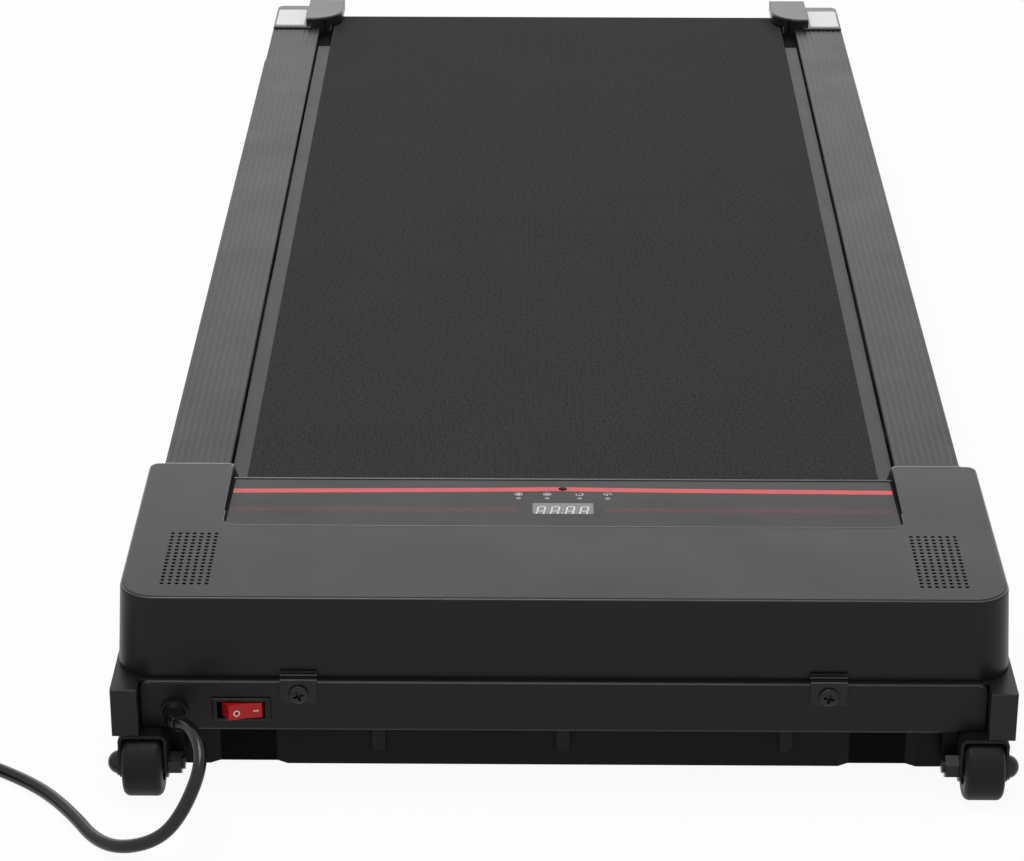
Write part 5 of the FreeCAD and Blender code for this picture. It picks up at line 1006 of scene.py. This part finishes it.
def rocker_mark(outlines, along, up):
    """Mesh of a printed mark on the rocker's face, so far along it from the valley and so far up."""
    out = valley_rise + abs(along) * math.tan(facet_lean)
    place = rocker_pivot + Matrix.Rotation(rocker_tip, 3, "Z") @ Vector((along, -out, up))
    facing = (math.pi / 2, 0.0, rocker_tip - math.copysign(facet_lean, along))
    return stamped(films(outlines, -0.15, 0.05), [place], facing, mark_ink)


ring_mesh = rocker_mark(ring(1.7, 0.55), along=-5.1, up=-0.9)
add_piece("rocker_ring_mark", ring_mesh, "switch_rocker")
stroke_mesh = rocker_mark([bar((-1.6, 0), (1.6, 0), 0.65)], along=6.3, up=-0.2)
add_piece("rocker_stroke_mark", stroke_mesh, "switch_rocker")
print("ring", [round(value, 2) for value in ring_mesh.vertices[0].co / MM])

# %% [markdown]
# ## Strain relief and plug
# A moulded sleeve with soft ribs tapers from the gland onto the lead and bends with it, and the plug has a
# ribbed grip. Both are round pieces about a line, so one tree carries a circle along a path whose points
# hold their own radius. The sleeve's path is read from the lead's own spline.

# %% Tree for round pieces along a line
def round_tree():
    """Tree that carries a circle along its host curve, as wide as each point's radius."""
    tree, given, made = geometry_tree("round_along_line", [
        ("Steps", "Int", 40), ("Sharp Angle", "Float", 0.9), ("Finish", "Material", None)])
    circle = step(tree, "GeometryNodeCurvePrimitiveCircle", {"Resolution": given["Steps"]},
                  {"Radius": 1.0}).outputs["Curve"]
    width = step(tree, "GeometryNodeInputRadius").outputs["Radius"]
    swept = step(tree, "GeometryNodeCurveToMesh", {"Curve": given["Geometry"], "Profile Curve": circle,
                 "Scale": width}, {"Fill Caps": True}).outputs["Mesh"]
    return end_tree(tree, swept, given, made)


round_pieces = round_tree()


def round_piece(points, radii, finish):
    """Mesh of a round piece about a line, both in millimetres."""
    host = poly_curve("round_line", points, False)
    for target, radius in zip(host.data.splines[0].points, radii):
        target.radius = radius * MM
    return outward(grow(round_pieces, host, {"Finish": finish}))


# %% Sleeve on the lead
bare_line = bpy.data.objects.new("bare_line", nurbs_line("bare_line", lead_line))
bpy.context.scene.collection.objects.link(bare_line)
bare_mesh = bpy.data.meshes.new_from_object(bare_line.evaluated_get(bpy.context.evaluated_depsgraph_get()))
lead_points = [vertex.co / MM for vertex in bare_mesh.vertices]
bpy.data.objects.remove(bare_line)


def along_lead(distance):
    """Point of the lead's line at a distance from the gland, in millimetres."""
    for before, after in zip(lead_points, lead_points[1:]):
        run = (after - before).length
        if distance <= run:
            return before.lerp(after, distance / run)
        distance -= run
    return lead_points[-1]


relief_length, relief_ribs, relief_step = 21.0, 6, 0.35
relief_wide, relief_taper, relief_groove = 5.8, 1.4, 0.22
relief_marks = [index * relief_step for index in range(round(relief_length / relief_step) + 1)]
relief_radii = [relief_wide - relief_taper * mark / relief_length - relief_groove * (0.5 - 0.5 * math.cos(
                2 * math.pi * relief_ribs * mark / relief_length)) for mark in relief_marks]
relief_mesh = round_piece([along_lead(mark) for mark in relief_marks], relief_radii, lead_skin)
strain_relief = add_piece("lead_strain_relief", relief_mesh, "chassis")
print("sleeve", len(relief_mesh.polygons), "faces")

# %% Grip of the plug
plug_heading = coil_heading(turn_count)
plug_heading.z = 0
plug_heading.normalize()
plug_start = coil_out + coil_heading(turn_count) * plug_run
cone_length, cone_thin, cone_wide, cone_swell, cone_steps = 24.0, 5.6, 10.8, 1.3, 60
cone_ribs, rib_groove = 5, 0.5
grip_shape = ((0.6, 12.2), (1.6, 13.3), (3.0, 13.8), (9.0, 13.8), (9.6, 13.3), (10.4, 13.3), (11.0, 13.8),
              (13.6, 13.8), (14.2, 13.3), (15.0, 13.3), (15.6, 13.8), (23.6, 13.8), (25.2, 13.1),
              (26.0, 12.0))
plug_marks = [cone_length * index / cone_steps for index in range(cone_steps + 1)]
plug_radii = [cone_thin + (cone_wide - cone_thin) * (mark / cone_length) ** cone_swell
              - rib_groove * max(0.0, math.sin(2 * math.pi * cone_ribs * mark / cone_length))
              for mark in plug_marks]
plug_marks += [cone_length + mark for mark, _ in grip_shape]
plug_radii += [radius for _, radius in grip_shape]
plug_mesh = round_piece([plug_start + plug_heading * mark for mark in plug_marks], plug_radii, lead_skin)
plug_grip = add_piece("plug_grip", plug_mesh, "chassis")
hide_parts("plug_body")
print("plug", round(plug_marks[-1], 1), "mm long,", len(plug_mesh.polygons), "faces")

# %% [markdown]
# ## Floor and studio light
# The photograph is a cut-out on white. A pale floor that answers camera, glossy and transmission rays partly
# with plain white keeps the picture white and still holds the pad's shadow. A soft box overhead and a broad
# one behind the pad give the bright lines along the edges, and the white world fills in evenly.

# %% Floor, world and lamps
def seen_directly(tree):
    """One for rays from the camera, or reflected or passed on to it, and zero for diffuse light."""
    path = add(tree, "LightPath").outputs
    seen = add(tree, "Math", {0: path["Is Camera Ray"], 1: path["Is Glossy Ray"]}, operation="ADD").outputs[0]
    return add(tree, "Math", {0: seen, 1: path["Is Transmission Ray"]}, operation="ADD",
               use_clamp=True).outputs[0]


white_share, fill_strength, floor_half = 0.94, 0.55, 9
floor_finish, tree, shader = new_finish("studio_floor", 1.0, 0.0)
shader.inputs["Base Color"].default_value = (0.9, 0.9, 0.9, 1)
white = add(tree, "Emission", values={"Color": (1, 1, 1, 1), "Strength": 1.0})
share = add(tree, "Math", {0: seen_directly(tree)}, {1: white_share}, operation="MULTIPLY").outputs[0]
mixed = add(tree, "MixShader", {0: share, 1: shader.outputs[0], 2: white.outputs[0]})
tree.links.new(mixed.outputs[0], tree.nodes["Material Output"].inputs["Surface"])
floor_mesh = bpy.data.meshes.new("studio_floor")
floor_mesh.from_pydata([(x * floor_half, y * floor_half, 0) for x, y in ((-1, -1), (1, -1), (1, 1), (-1, 1))],
                       [], [(0, 1, 2, 3)])
floor_mesh.materials.append(floor_finish)
studio_floor = bpy.data.objects.new("studio_floor", floor_mesh)
bpy.context.scene.collection.objects.link(studio_floor)

world = bpy.data.worlds.new("studio_world")
bpy.context.scene.world = world
world.use_nodes = True
tree = world.node_tree
fill = tree.nodes["Background"]
fill.inputs["Color"].default_value = (1, 1, 1, 1)
fill.inputs["Strength"].default_value = fill_strength
backdrop = add(tree, "Background", values={"Color": (1, 1, 1, 1), "Strength": 1.0})
mixed = add(tree, "MixShader", {0: seen_directly(tree), 1: fill.outputs[0], 2: backdrop.outputs[0]})
tree.links.new(mixed.outputs[0], tree.nodes["World Output"].inputs["Surface"])


def add_lamp(name, place, target, size, power):
    """A rectangular soft box that faces a point."""
    data = bpy.data.lights.new(name, "AREA")
    data.shape, data.size, data.size_y, data.energy = "RECTANGLE", size[0], size[1], power
    lamp = bpy.data.objects.new(name, data)
    lamp.location = place
    lamp.rotation_euler = (Vector(target) - Vector(place)).to_track_quat("-Z", "Y").to_euler()
    bpy.context.scene.collection.objects.link(lamp)


add_lamp("top_soft_box", (-0.3, -0.5, 2.4), (0, -0.1, 0), (1.3, 0.9), 24.0)
add_lamp("rear_soft_box", (0.0, 3.6, 1.75), (0, 0, 0.1), (5.0, 1.9), 32.0)
bpy.context.scene.view_settings.view_transform = "Standard"
print("studio set")
